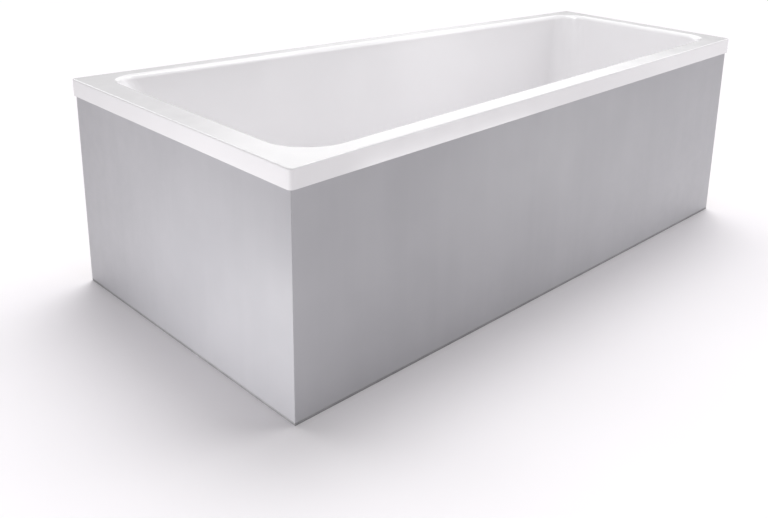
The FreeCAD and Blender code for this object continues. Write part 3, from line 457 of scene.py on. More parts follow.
# %% [markdown]
# ## Dress the solids
# Every solid kept the name of its finish from the CAD record. Assigning a material to
# the slot changes the look and leaves the shape alone. Timber and the extruded rails
# follow their own direction, so these get their material by piece.

# %% Hand out the finishes
TUB_LENGTH, WIDE_END, NARROW_END = 1.700, 0.900, 0.610
FRONT_TURN = math.atan((WIDE_END - NARROW_END) / TUB_LENGTH)
QUARTER = math.pi / 2
ALUMINIUM = ((0.60, 0.61, 0.62), (0.76, 0.77, 0.78), (0.26, 0.42), (40.0, 1.0, 1.0))
PIN_STEEL = ((0.46, 0.47, 0.48), (0.64, 0.65, 0.66), (0.22, 0.38), (9.0, 1.0, 9.0), (0.0, 0.0, 0.1))
BRASS = ((0.50, 0.33, 0.11), (0.74, 0.54, 0.24), (0.22, 0.40), (12.0, 12.0, 1.0), (0.0, 0.0, 0.0))
FINISHES = {
    "acrylic": acrylic_finish(),
    "panel_grey": panel_finish(),
    "glass_fibre": glass_fibre_finish(),
    "chipboard": chipboard_finish(),
    "batten_timber": timber_finish("timber_along_x", 0.0),
    "zinc_steel": zinc_finish(),
    "rail_aluminium": lined_metal_finish("aluminium_upright", *ALUMINIUM, (0.0, QUARTER, 0.0)),
    "chrome": chrome_finish(),
    "pin_steel": lined_metal_finish("pin_steel", *PIN_STEEL),
    "brass": lined_metal_finish("turned_brass", *BRASS),
}
MOULDED = {
    "clip_plastic": ((0.018, 0.018, 0.020), (0.042, 0.042, 0.045), (0.42, 0.62)),
    "pad_plastic": ((0.014, 0.014, 0.015), (0.036, 0.036, 0.038), (0.50, 0.74), 520.0, 0.00018),
    "lever_plastic": ((0.60, 0.60, 0.57), (0.72, 0.72, 0.69), (0.28, 0.46)),
    "waste_plastic": ((0.70, 0.70, 0.68), (0.82, 0.82, 0.80), (0.24, 0.40), 700.0, 0.00006, 0.15),
    "pipe_grey": ((0.115, 0.12, 0.125), (0.175, 0.18, 0.19), (0.34, 0.50), 800.0, 0.00007),
    "hose_plastic": ((0.62, 0.62, 0.61), (0.74, 0.74, 0.73), (0.30, 0.46), 600.0, 0.00006),
    "cable_sheath": ((0.012, 0.012, 0.014), (0.030, 0.030, 0.033), (0.34, 0.50)),
    "gasket_rubber": ((0.010, 0.010, 0.011), (0.030, 0.030, 0.031), (0.62, 0.84), 700.0, 0.00012),
    "seal_grey": ((0.25, 0.247, 0.256), (0.32, 0.316, 0.326), (0.58, 0.78), 700.0, 0.0001),
}
FINISHES.update({name: moulded_finish(name, *recipe) for name, recipe in MOULDED.items()})
OWN_FINISHES = {
    "rim_batten_front": timber_finish("timber_along_front", FRONT_TURN),
    "rim_batten_wide_end": timber_finish("timber_along_y", QUARTER),
    "front_panel_rail": lined_metal_finish("aluminium_along_front", *ALUMINIUM, (0.0, 0.0, FRONT_TURN)),
    "end_panel_rail": lined_metal_finish("aluminium_along_end", *ALUMINIUM, (0.0, 0.0, QUARTER)),
}
OWN_FINISHES["rim_batten_narrow_end"] = OWN_FINISHES["rim_batten_wide_end"]

for name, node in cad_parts.items():
    for holder in node.material_slots:
        kind = holder.material.name.split(".")[0]
        holder.material = OWN_FINISHES.get(name, FINISHES[kind])
print("finishes:", len(FINISHES) + len(set(OWN_FINISHES.values())))

material, shader, place = finish("sweep_paint", roughness=0.9, specular_ior_level=0.1)
clouded = shaped(noise(place, 1.3, 2.0), 0.3, 0.7)
blended(clouded, (0.940, 0.915, 0.940), (0.955, 0.930, 0.955)).feed(shader, "Base Color")
floor_mesh.materials.append(material)

# %% [markdown]
# ## Small helpers for pieces
# The next pieces take the place of plain solids. Each one is built where the CAD has
# the solid, gets the same finish, and rides on the same body, so that it moves with it.
# The CAD mesh itself is never touched: a copy of it is merged and read instead.


# %% Read a solid, and finish a piece
def merged(name):
    """A copy of a solid whose loose triangles are joined."""
    shape = bmesh.new()
    shape.from_mesh(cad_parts[name].data)
    bmesh.ops.remove_doubles(shape, verts=shape.verts[:], dist=1e-6)
    return shape


def islands(name):
    """The lowest and the highest corner of each separate body in a solid."""
    shape = merged(name)
    waiting = set(shape.verts)
    found = []
    while waiting:
        front = [waiting.pop()]
        group = []
        while front:
            vertex = front.pop()
            group.append(vertex.co.copy())
            near = {edge.other_vert(vertex) for edge in vertex.link_edges} & waiting
            waiting -= near
            front.extend(near)
        corners = [[pick(place[axis] for place in group) for axis in range(3)] for pick in (min, max)]
        found.append(tuple(Vector(corner) for corner in corners))
    shape.free()
    return sorted(found, key=lambda corners: tuple(round(v, 5) for v in corners[0]))


def joined(shape, rings, closed=False):
    """Faces between each ring of points and the next. A ring may shrink to a single point."""
    steps = max(len(ring) for ring in rings)
    for first, second in zip(rings, rings[1:] + rings[:1] if closed else rings[1:]):
        for index in range(steps):
            ways = ((first, index), (first, index + 1), (second, index + 1), (second, index))
            corners = list(dict.fromkeys(ring[step % steps % len(ring)] for ring, step in ways))
            if len(corners) > 2:
                shape.faces.new(corners)


def as_piece(name, shape):
    """A new piece from mesh code, linked to the scene."""
    mesh = bpy.data.meshes.new(name)
    shape.to_mesh(mesh)
    shape.free()
    piece = bpy.data.objects.new(name, mesh)
    scene.collection.objects.link(piece)
    return piece


def made_plain(piece):
    """Turns what a piece's modifiers make into its own mesh."""
    graph = bpy.context.evaluated_depsgraph_get()
    mesh = bpy.data.meshes.new_from_object(piece.evaluated_get(graph), depsgraph=graph)
    piece.modifiers.clear()
    piece.data = mesh
    return piece


def smoothed(piece, degrees=35.0):
    """Smooth shading that stops at edges sharper than an angle."""
    piece.data.polygons.foreach_set("use_smooth", [True] * len(piece.data.polygons))
    piece.data.set_sharp_from_angle(angle=math.radians(degrees))
    return piece


def dress(piece, slot, body, *replaced):
    """Gives a piece its finish and its body, and lets it stand for its solids."""
    own = OWN_FINISHES.get(replaced[0] if replaced else "", FINISHES[slot])
    piece.data.materials.clear()
    piece.data.materials.append(own)
    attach(piece, body)
    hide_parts(*replaced)
    print(piece.name, "rides on", body, "with", len(piece.data.polygons), "faces")


# %% [markdown]
# ## Edges that are not razor sharp
# Lacquered boards, planed timber and pressed steel all have edges that are slightly
# rounded, and the eye knows it from the thin light line along them. A Bevel modifier
# could stay live on the piece, but its result is kept here as a plain mesh. Flat
# triangles are dissolved first, so that the bevel meets only the real edges, and
# hardened normals keep the large faces perfectly flat.


# %% Round the edges of boards, timber and steel
def flattened(shape, degrees):
    """Dissolves the edges between faces that lie in one plane, give or take an angle."""
    flat = math.radians(degrees)
    bmesh.ops.dissolve_limit(shape, angle_limit=flat, verts=shape.verts[:], edges=shape.edges[:])
    return shape


def softened(node, piece_name, slot, width, steps):
    piece = as_piece(piece_name, flattened(merged(node), 1.0))
    piece.data.polygons.foreach_set("use_smooth", [True] * len(piece.data.polygons))
    bevel = piece.modifiers.new("soft_edges", "BEVEL")
    bevel.width = width
    bevel.segments = steps
    bevel.limit_method = "ANGLE"
    bevel.angle_limit = math.radians(40.0)
    bevel.harden_normals = True
    dress(made_plain(piece), slot, "tub", node)


SIDES = ("front", "back", "wide_end", "narrow_end")
BATTENS = {"rim_batten_" + side: "planed_batten_" + side for side in SIDES}
SOFT_EDGES = (
    ("panel_grey", 0.0012, 3, {"front_panel": "front_panel_board", "end_panel": "end_panel_board"}),
    ("batten_timber", 0.0015, 2, BATTENS),
    ("zinc_steel", 0.0007, 2, {"leg_rail_" + end: "bent_leg_rail_" + end for end in ("wide", "narrow")}),
    ("rail_aluminium", 0.0004, 2, {end + "_panel_rail": "angle_rail_" + end for end in ("front", "end")}),
    ("rail_aluminium", 0.0005, 2, {"panel_corner_profile": "corner_angle"}),
    ("clip_plastic", 0.0005, 2, {"panel_clips": "moulded_panel_clips"}),
    ("zinc_steel", 0.0005, 2, {"panel_floor_brackets": "bent_floor_brackets"}),
    ("zinc_steel", 0.0006, 2, {"wall_anchors": "bent_wall_anchors"}),
)
for slot, width, steps, pieces in SOFT_EDGES:
    for node, piece_name in pieces.items():
        softened(node, piece_name, slot, width, steps)

# %% [markdown]
# ## The seal under the panels
# A soft profile closes the gap between panel and floor. Its section, with one groove
# above a thin foot, is carried from one end of the solid to the other along its four
# corners, so the mitre at the near corner comes out by itself.

# %% Draw the seal's section between its four corners
# How far across the seal, from its outer face at 0 to its inner one at 1, and the height.
SEAL_SECTION = (
    (0.04, 0.0060), (0.0, 0.0056), (0.0, 0.0030), (0.05, 0.0026), (0.17, 0.0024), (0.17, 0.0018),
    (0.02, 0.0014), (0.0, 0.0010), (0.0, 0.0004), (0.05, 0.0), (0.95, 0.0), (1.0, 0.0004),
    (1.0, 0.0010), (0.98, 0.0014), (0.83, 0.0018), (0.83, 0.0024), (0.95, 0.0026), (1.0, 0.0030),
    (1.0, 0.0056), (0.96, 0.0060),
)
BEHIND_THE_TUB = Vector((0.0, 0.6))


def seal(node, piece_name):
    solid = merged(node)
    corners = [Vector(c) for c in sorted({(round(v.co.x, 6), round(v.co.y, 6)) for v in solid.verts})]
    solid.free()
    low, high = (Vector(corner[:2]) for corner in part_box(node))
    along = max((b - a for a in corners for b in corners), key=lambda run: run.length)
    ends = [[c for c in corners if side * (c - (low + high) / 2).dot(along) > 0] for side in (-1, 1)]
    shape = bmesh.new()
    rings = []
    for pair in ends:
        inner, outer = sorted(pair, key=lambda corner: (corner - BEHIND_THE_TUB).length)
        places = [(*outer.lerp(inner, across), height) for across, height in SEAL_SECTION]
        rings.append([shape.verts.new(place) for place in places])
    joined(shape, rings)
    for ring in rings:
        shape.faces.new(ring)
    bmesh.ops.recalc_face_normals(shape, faces=shape.faces[:])
    dress(smoothed(as_piece(piece_name, shape), 40.0), "seal_grey", "tub", node)


seal("front_floor_seal", "grooved_seal_front")
seal("end_floor_seal", "grooved_seal_end")

# %% [markdown]
# ## Resin that follows no mould
# The glass-fibre layer has a smooth side towards the acrylic and a lumpy side towards
# the room. A voxel remesh would close the thin layer, and dividing its long triangles
# makes slivers, so a copy is sliced by three stacks of planes, which leaves an even
# grid on the outer side. Only the outer side's points are then pushed out, by a noise.

# %% Slice the outside of the backing into a grid
GRID = 0.022
BASIN_MIDDLE = Vector((0.02, 0.03, 0.45))
RIM_MARGIN = 0.003
SNAP = 0.0002
shape = flattened(merged("fibreglass_backing"), 0.4)
shape.normal_update()
outside = [face for face in shape.faces if face.normal.dot(face.calc_center_median() - BASIN_MIDDLE) > 0]
part = list({vertex for face in outside for vertex in face.verts})
part = part + list({edge for face in outside for edge in face.edges}) + outside
low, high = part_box("fibreglass_backing")
for axis in range(3):
    across = Vector([float(index == axis) for index in range(3)])
    for step in range(math.ceil(low[axis] / GRID), math.floor((high[axis] - RIM_MARGIN) / GRID) + 1):
        place = across * step * GRID
        cut = bmesh.ops.bisect_plane(shape, geom=part, plane_co=place, plane_no=across, dist=SNAP)
        part = cut["geom"]
print("backing faces:", len(shape.faces))

# %% Make it lumpy
LUMP = 0.0012
SMOOTH_ROUND_FITTINGS = 0.055
SMOOTH_ABOVE = 0.497
DRAIN = Vector((0.027239, -0.062791, 0.126))
OVERFLOW = Vector((0.055811, -0.230278, 0.448))
shape.normal_update()
for vertex in shape.verts:
    turned_out = vertex.normal.dot(vertex.co - BASIN_MIDDLE) > 0
    clear = min((vertex.co - fitting).length for fitting in (DRAIN, OVERFLOW)) > SMOOTH_ROUND_FITTINGS
    if turned_out and clear and vertex.co.z < SMOOTH_ABOVE:
        waves = 0.5 + 0.4 * clouds.noise(vertex.co * 16.0) + 0.25 * clouds.noise(vertex.co * 40.0)
        vertex.co += vertex.normal * LUMP * max(0.0, min(1.0, waves))
dress(smoothed(as_piece("sprayed_backing", shape), 60.0), "glass_fibre", "tub", "fibreglass_backing")

# %% [markdown]
# ## Trees that make geometry
# Threads, ribs and rows of screws follow rules, so Geometry Nodes make them. The trees
# are built here like the materials, from the same wires. A tree gets named inputs for
# its sizes and ends by making its instances real and giving them their material.


# %% Open, close and grow a geometry tree
def geometry_tree(name, **kinds):
    """A new tree with named inputs. Gives the tree and a wire for each input."""
    tree = bpy.data.node_groups.new(name, "GeometryNodeTree")
    for label, kind in (("Geometry", "Geometry"), *kinds.items()):
        tree.interface.new_socket(label, in_out="INPUT", socket_type="NodeSocket" + kind)
    tree.interface.new_socket("Geometry", in_out="OUTPUT", socket_type="NodeSocketGeometry")
    start = tree.nodes.new("NodeGroupInput")
    return tree, {socket.name: Wire(socket) for socket in start.outputs if socket.name}


def close_tree(tree, geometry, material):
    real = geometry.node("GeometryNodeRealizeInstances", {}, {"Geometry": geometry})
    painted = real.node("GeometryNodeSetMaterial", {}, {"Geometry": real, "Material": material})
    end = tree.nodes.new("NodeGroupOutput")
    tree.links.new(painted.socket, end.inputs["Geometry"])
    return tree


def grown(piece, tree, **values):
    """Runs a tree on a piece with those values, and keeps the result as a plain mesh."""
    modifier = piece.modifiers.new(tree.name, "NODES")
    modifier.node_group = tree
    for socket in tree.interface.items_tree:
        if socket.in_out == "INPUT" and socket.name in values:
            modifier[socket.identifier] = values[socket.name]
    return made_plain(piece)


def empty_piece(name):
    return as_piece(name, bmesh.new())


# %% [markdown]
# ## Threads
# A thread is a groove that climbs around a rod. It could be swept along a helix, but a
# finely divided cylinder whose radius depends on angle and height gives the same shape
# with clean closed ends: one full turn around moves the wave up by one pitch. Near both
# ends the radius is cut down, as the chamfer of a real rod does.


# %% Build the thread tree
def thread_tree():
    tree, given = geometry_tree(
        "thread", Radius="Float", Depth="Float", Pitch="Float", Length="Float", Point="Float",
        Sides="Int", Material="Material",
    )
    rows = given["Length"].maths("DIVIDE", given["Length"], given["Pitch"]) * 5.0
    sizes = {
        "Vertices": given["Sides"], "Side Segments": rows,
        "Radius": given["Radius"], "Depth": given["Length"],
    }
    cylinder = rows.node("GeometryNodeMeshCylinder", {"fill_type": "TRIANGLE_FAN"}, sizes)
    place = cylinder.node("GeometryNodeInputPosition")
    x, y, z = (place.node("ShaderNodeSeparateXYZ", {}, {"Vector": place}, axis) for axis in "XYZ")
    around = y.maths("ARCTAN2", y, x) * (0.5 / math.pi)
    climb = z.maths("DIVIDE", z, given["Pitch"]) - around
    wave = climb.maths("PINGPONG", climb, 0.5) * 2.0
    round_wave = shaped(wave, 0.1, 0.9)
    to_end = given["Length"] * 0.5 - z.maths("ABSOLUTE", z)
    chamfer = given["Point"] - to_end
    cut = given["Depth"] * round_wave
    deeper = cut.maths("MAXIMUM", cut, chamfer)
    share = 1 - deeper.maths("DIVIDE", deeper, given["Radius"])
    scale = share.node("ShaderNodeCombineXYZ", {}, {"X": share, "Y": share, "Z": 1.0})
    moved = place.node("ShaderNodeVectorMath", {"operation": "MULTIPLY"}, {0: place, 1: scale})
    shape = moved.node("GeometryNodeSetPosition", {}, {"Geometry": cylinder, "Position": moved})
    return close_tree(tree, shape, given["Material"])


THREAD = thread_tree()
ROD_BOTTOM, ROD_TOP = 0.008, 0.148
LEGS = {
    "wide_front": (-0.400, -0.305086),
    "wide_back": (-0.400, 0.381167),
    "narrow_front": (0.520, -0.148144),
    "narrow_back": (0.520, 0.381167),
}
for leg, (x, y) in LEGS.items():
    rod = grown(
        empty_piece("threaded_rod_" + leg), THREAD, Radius=0.006, Depth=0.00085, Pitch=0.00175,
        Length=ROD_TOP - ROD_BOTTOM, Point=0.0012, Sides=24, Material=FINISHES["zinc_steel"],
    )
    rod.data.transform(Matrix.Translation((x, y, (ROD_BOTTOM + ROD_TOP) / 2)))
    dress(smoothed(rod, 50.0), "zinc_steel", "leg_" + leg, "leg_rod_" + leg)

# %% [markdown]
# ## Rows of nuts and screws
# One nut and one screw are modelled with care, and a small tree puts a copy on each
# point of a point cloud. The points are read from the CAD solids, so every copy sits in
# its own hole. A random turn with a fixed seed keeps the screws from all looking the
# same way, as if one hand had driven them in one go.


# %% Build the tree that repeats a part on points
def repeat_tree():
    tree, given = geometry_tree("repeated_part", Part="Object", Turn="Float", Seed="Int", Material="Material")
    part = given["Part"].node("GeometryNodeObjectInfo", {}, {"Object": given["Part"]}, "Geometry")
    span = {2: 0.0, 3: given["Turn"], "Seed": given["Seed"]}
    angle = part.node("FunctionNodeRandomValue", {"data_type": "FLOAT"}, span, 1)
    turn = angle.node("ShaderNodeCombineXYZ", {}, {"Z": angle})
    copies = {"Points": given["Geometry"], "Instance": part, "Rotation": turn}
    placed = turn.node("GeometryNodeInstanceOnPoints", {}, copies)
    return close_tree(tree, placed, given["Material"])


REPEAT = repeat_tree()


def repeated(name, part, places, slot, turn=0.0, seed=4):
    """A piece with a copy of a part at each place. The part itself is removed."""
    points = bmesh.new()
    for place in places:
        points.verts.new(place)
    piece = grown(as_piece(name, points), REPEAT, Part=part, Turn=turn, Seed=seed, Material=FINISHES[slot])
    bpy.data.objects.remove(part)
    return smoothed(piece, 32.0)


# %% [markdown]
# ## Parts that come off a lathe
# A profile of radius and height, spun about an axis, gives rings, feet and screw heads.
# The section is spun by hand here: each ring of points is joined to the next, and where
# the profile touches the axis the ring shrinks to a single point.


# %% Turn a profile
def spun(shape, profile, steps, radius_at=None):
    """A ring of points for each radius and height. A rule may change them with the angle."""
    rings = []
    for radius, height in profile:
        ring = []
        for index in range(steps if radius else 1):
            angle = 2 * math.pi * index / steps
            reach, rise = radius_at(radius, height, angle) if radius_at else (radius, height)
            ring.append(shape.verts.new((reach * math.cos(angle), reach * math.sin(angle), rise)))
        rings.append(ring)
    return rings


def turned_shape(profile, steps, radius_at=None):
    """A closed shape from points of radius and height."""
    shape = bmesh.new()
    joined(shape, spun(shape, profile, steps, radius_at), closed=True)
    bmesh.ops.recalc_face_normals(shape, faces=shape.faces[:])
    return shape


# %% [markdown]
# ## Lock nuts
# The corners of a real hexagon nut are turned off by a shallow cone, which leaves the
# typical arcs on its six flats. The radius rule gives exactly that: at each angle the
# hexagon's own radius and the height at which the cone reaches it.

# %% Make the nuts
FLATS = 0.019
NUT_HEIGHT = 0.010
NUT_BORE = 0.0052
CONE_START = 0.475 * FLATS
BEYOND_THE_CONE = 0.0105


def hexagon_reach(half_flats, angle):
    """How far a hexagon reaches from its middle at an angle."""
    return half_flats / math.cos(angle % (math.pi / 3) - math.pi / 6)


def hexagon(radius, height, angle):
    """Beyond the cone's start, the radius of a hexagon whose corners it has cut at 30 degrees."""
    if radius <= CONE_START:
        return radius, height
    corner = hexagon_reach(FLATS / 2, angle)
    cone = (corner - CONE_START) * math.tan(math.radians(30.0))
    return corner, cone if height < NUT_HEIGHT / 2 else NUT_HEIGHT - cone


lower_half = ((NUT_BORE, 0.0009), (NUT_BORE + 0.001, 0.0), (CONE_START, 0.0), (BEYOND_THE_CONE, 0.001))
upper_half = tuple((radius, NUT_HEIGHT - height) for radius, height in reversed(lower_half))
nut_profile = lower_half + upper_half
nut = as_piece("one_nut", turned_shape(nut_profile, 48, hexagon))
nut_places = [(*((low + high) / 2).xy, low.z) for low, high in islands("leg_lock_nuts")]
print("nuts:", len(nut_places))
nuts = repeated("chamfered_lock_nuts", nut, nut_places, "zinc_steel")
dress(nuts, "zinc_steel", "tub", "leg_lock_nuts")

# %% [markdown]
# ## Screws
# A pan head with a cross recess, and a threaded shank. The recess is a real hole: the
# head's top is filled between its edge and the outline of a cross, and the cross is
# pushed in and narrowed.


# %% Model one screw
# Shares of the head's radius and height.
PAN_HEAD = ((0.0, 0.0), (1.0, 0.0), (1.0, -0.35), (0.93, -0.7), (0.74, -0.95), (0.58, -1.0))


def screw_part(head_radius, head_height, shank_radius, length, pitch):
    """A screw that points up, with its head under the height 0."""
    shape = bmesh.new()
    profile = [(head_radius * radius, head_height * height) for radius, height in PAN_HEAD]
    rings = spun(shape, profile, 24)
    joined(shape, rings)
    long_arm, half_width = 0.46 * head_radius, 0.12 * head_radius
    arm = ((long_arm, -half_width), (long_arm, half_width), (half_width, half_width))
    cross = [Matrix.Rotation(quarter * QUARTER, 2) @ Vector(point) for quarter in range(4) for point in arm]
    recess = []
    for shrink, depth in ((1.0, -1.0), (0.62, -0.25)):
        recess.append([shape.verts.new((*point * shrink, depth * head_height)) for point in cross])
    top = [shape.edges.new((recess[0][index - 1], recess[0][index])) for index in range(len(cross))]
    edge = [shape.edges.get((rings[-1][index - 1], rings[-1][index])) for index in range(len(rings[-1]))]
    bmesh.ops.triangle_fill(shape, edges=top + edge, use_beauty=True)
    joined(shape, recess)
    shape.faces.new(recess[-1])
    bmesh.ops.recalc_face_normals(shape, faces=shape.faces[:])
    shank = grown(
        empty_piece("shank"), THREAD, Radius=shank_radius, Depth=0.22 * shank_radius, Pitch=pitch,
        Length=length, Point=0.7 * shank_radius, Sides=12, Material=FINISHES["zinc_steel"],
    )
    shank.data.transform(Matrix.Translation((0, 0, length / 2 - 0.0004)))
    shape.from_mesh(shank.data)
    bpy.data.objects.remove(shank)
    return as_piece("one_screw", shape)


# Radius and height of the head, radius, length and pitch of the shank.
RAIL_SCREW = (0.0036, 0.0020, 0.00175, 0.0120, 0.0013)
BOARD_SCREW = (0.0050, 0.0030, 0.0025, 0.0170, 0.0018)
RING_SCREW = (0.0038, 0.0020, 0.0020, 0.0170, 0.0014)
for node, piece_name, sizes in (
    ("panel_rail_screws", "pan_head_rail_screws", RAIL_SCREW),
    ("leg_rail_screws", "pan_head_board_screws", BOARD_SCREW),
):
    seats = [(*((low + high) / 2).xy, low.z + sizes[1]) for low, high in islands(node)]
    screws = repeated(piece_name, screw_part(*sizes), seats, "zinc_steel", 2 * math.pi)
    dress(screws, "zinc_steel", "tub", node)

# %% [markdown]
# ## The overflow's own frame
# The overflow sits in the leaning front wall. Its axis points out of the wall into the
# basin, and a matrix of three directions and a place turns what was built upright.

# %% Two screws of the overflow ring
into_basin = Vector((-0.168159, 0.985760, 0.0))
overflow_axis = Vector((-0.166379, 0.975326, 0.145114))
up_the_wall = Vector((0.024402, -0.143048, 0.989415))


def framed(origin, across, upwards, axis):
    """The matrix that carries x, y and z to three directions at a place."""
    turn = Matrix((across, upwards, axis)).transposed()
    return Matrix.Translation(origin) @ turn.to_4x4()


overflow_frame = framed(OVERFLOW, up_the_wall.cross(overflow_axis), up_the_wall, overflow_axis)
RING_FACE = 0.004
FROM_THE_MIDDLE = 0.022
seats = [(0.0, side * FROM_THE_MIDDLE, -RING_FACE) for side in (-1, 1)]
ring_screws = repeated("pan_head_ring_screws", screw_part(*RING_SCREW), seats, "zinc_steel", 2.0)
ring_screws.data.transform(overflow_frame @ Matrix.Rotation(math.pi, 4, "X"))
dress(ring_screws, "zinc_steel", "tub", "overflow_screws")

# %% [markdown]
# ## Feet and nuts with ribs
# Moulded plastic is thin, so ribs make it stiff: a foot has gussets from its hub to its
# plate, and a nut that is tightened by hand has grips. The body is turned, and a second
# tree stands ribs around it in equal steps.


# %% Build the tree that stands parts around an axis
def around_tree():
    tree, given = geometry_tree("parts_around_axis", Part="Object", Count="Int", Material="Material")
    points = {"Resolution": given["Count"], "Radius": 0.001}
    circle = given["Count"].node("GeometryNodeCurvePrimitiveCircle", {"mode": "RADIUS"}, points)
    part = circle.node("GeometryNodeObjectInfo", {}, {"Object": given["Part"]}, "Geometry")
    index = circle.node("GeometryNodeInputIndex")
    angle = index.maths("DIVIDE", index, given["Count"]) * (2 * math.pi)
    turn = angle.node("ShaderNodeCombineXYZ", {}, {"Z": angle})
    centred = turn.node("GeometryNodeSetPosition", {}, {"Geometry": circle, "Position": (0.0, 0.0, 0.0)})
    copies = {"Points": centred, "Instance": part, "Rotation": turn}
    placed = turn.node("GeometryNodeInstanceOnPoints", {}, copies)
    both = placed.node("GeometryNodeJoinGeometry", {}, {"Geometry": placed})
    tree.links.new(given["Geometry"].socket, both.socket.node.inputs["Geometry"])
    return close_tree(tree, both, given["Material"])


AROUND = around_tree()


def prism(outline, half_width, bevel=0.0):
    """A flat part: an outline in x and z, given a width along y, with its edges rounded."""
    shape = bmesh.new()
    sides = [[shape.verts.new((x, side * half_width, z)) for x, z in outline] for side in (-1, 1)]
    for side in sides:
        shape.faces.new(side)
    joined(shape, sides)
    if bevel:
        bmesh.ops.bevel(shape, geom=shape.edges[:], offset=bevel, segments=1, affect="EDGES")
    bmesh.ops.recalc_face_normals(shape, faces=shape.faces[:])
    return shape


def ribbed(name, body, rib, count, slot):
    part = as_piece("one_rib", rib)
    piece = grown(as_piece(name, body), AROUND, Part=part, Count=count, Material=FINISHES[slot])
    bpy.data.objects.remove(part)
    return smoothed(piece, 35.0)


# %% Make the four feet
FOOT_PROFILE = (
    (0.0, 0.0012), (0.0195, 0.0012), (0.0203, 0.0), (0.0252, 0.0), (0.0266, 0.0008),
    (0.0270, 0.0020), (0.0270, 0.0042), (0.0264, 0.0054), (0.0252, 0.0060), (0.0146, 0.0064),
    (0.0134, 0.0074), (0.0130, 0.0090), (0.0129, 0.0200), (0.0125, 0.0214), (0.0116, 0.0220),
    (0.0080, 0.0220), (0.0068, 0.0214), (0.00605, 0.0200), (0.00605, 0.0080), (0.0, 0.0080),
)
GUSSET = ((0.0120, 0.0055), (0.0248, 0.0055), (0.0246, 0.0068), (0.0150, 0.0172), (0.0120, 0.0180))
for leg, (x, y) in LEGS.items():
    gusset = prism(GUSSET, half_width=0.0011, bevel=0.0003)
    foot = ribbed("ribbed_foot_" + leg, turned_shape(FOOT_PROFILE, 64), gusset, 8, "pad_plastic")
    foot.data.transform(Matrix.Translation((x, y, 0.0)))
    dress(foot, "pad_plastic", "leg_" + leg, "leg_pad_" + leg)

# %% Make the outlet nut
OUTLET_NUT_PROFILE = (
    (0.0203, 0.0008), (0.0212, 0.0), (0.0250, 0.0), (0.0258, 0.0008), (0.0258, 0.0210), (0.0252, 0.0218),
    (0.0240, 0.0226), (0.0240, 0.0254), (0.0233, 0.0260), (0.0211, 0.0260), (0.0203, 0.0252),
)
OUTLET_NUT_PLACE = Vector((DRAIN.x, 0.050209, 0.092))
GRIP = ((0.0250, 0.0012), (0.0270, 0.0016), (0.0270, 0.0196), (0.0250, 0.0206))
grip = prism(GRIP, half_width=0.0011, bevel=0.0005)
nut = ribbed("gripped_outlet_nut", turned_shape(OUTLET_NUT_PROFILE, 72), grip, 18, "waste_plastic")
to_the_back = framed(OUTLET_NUT_PLACE, Vector((1, 0, 0)), Vector((0, 0, -1)), Vector((0, 1, 0)))
nut.data.transform(to_the_back)
dress(nut, "waste_plastic", "tub", "outlet_nut")

# %% [markdown]
# ## The ribbed hose
# The overflow hose is a thin plastic tube with rings moulded around it, so that it bends
# without folding, and with a plain cuff at each end for its clip. Its line is a NURBS
# spline: down beside the wall, and under the floor. A tree divides that line, lets the
# radius rise and fall with the way along it, and sweeps a circle; a Solidify modifier
# gives the tube its wall.


# %% Draw a smooth line
def smooth_line(name, points):
    """A NURBS curve with those points as its control points."""
    curve = bpy.data.curves.new(name, "CURVE")
    curve.dimensions = "3D"
    curve.resolution_u = 24
    spline = curve.splines.new("NURBS")
    spline.points.add(len(points) - 1)
    for point, place in zip(spline.points, points):
        point.co = (*place, 1.0)
    spline.order_u = 3
    spline.use_endpoint_u = True
    line = bpy.data.objects.new(name, curve)
    scene.collection.objects.link(line)
    return line


# %% Sweep the hose
def hose_tree():
    tree, given = geometry_tree(
        "ribbed_hose", Route="Object", Radius="Float", Depth="Float", Pitch="Float", Cuff="Float",
        Material="Material",
    )
    route = given["Route"].node("GeometryNodeObjectInfo", {}, {"Object": given["Route"]}, "Geometry")
    piece = given["Pitch"] * (1 / 6)
    fine = route.node("GeometryNodeResampleCurve", {"mode": "LENGTH"}, {"Curve": route, "Length": piece})
    way = fine.node("GeometryNodeSplineParameter", {}, {}, "Length")
    whole = fine.node("GeometryNodeSplineLength", {}, {}, "Length")
    wave = way.maths("DIVIDE", way, given["Pitch"]) * (2 * math.pi)
    ribs = 0.5 - 0.5 * wave.maths("COSINE", wave)
    to_end = way.maths("MINIMUM", way, whole - way)
    inner = shaped(to_end, given["Cuff"], given["Cuff"] * 1.2)
    radius = given["Radius"] - given["Depth"] * (1 - shaped(ribs, 0.1, 0.8)) * inner
    sized = radius.node("GeometryNodeSetCurveRadius", {}, {"Curve": fine, "Radius": radius})
    round_section = {"Resolution": 28, "Radius": 1.0}
    circle = sized.node("GeometryNodeCurvePrimitiveCircle", {"mode": "RADIUS"}, round_section)
    sweep = {"Curve": sized, "Profile Curve": circle, "Scale": radius}
    return close_tree(tree, circle.node("GeometryNodeCurveToMesh", {}, sweep), given["Material"])


HOSE_RADIUS = 0.01375
HOSE_ROUTE = (
    (0.05897, -0.24879, 0.40785), (0.05392, -0.21917, 0.20300),
    (0.05145, -0.20471, 0.10300), (0.03413, -0.10321, 0.10300),
)
hose_route = smooth_line("hose_route", HOSE_ROUTE)
hose = grown(
    empty_piece("ribbed_overflow_hose"), hose_tree(), Route=hose_route, Radius=HOSE_RADIUS, Depth=0.0020,
    Pitch=0.0048, Cuff=0.016, Material=FINISHES["hose_plastic"],
)
wall = hose.modifiers.new("wall", "SOLIDIFY")
wall.thickness = 0.0011
wall.offset = -1.0
dress(smoothed(made_plain(hose), 60.0), "hose_plastic", "tub", "overflow_hose")
bpy.data.objects.remove(hose_route)

# %% [markdown]
# ## Hose clips
# Each clip is a steel band whose slots mesh with a worm screw under a small housing.
# The band is turned, its slots are raised bars around it, and the housing and the
# screw's hexagon head are added on top.

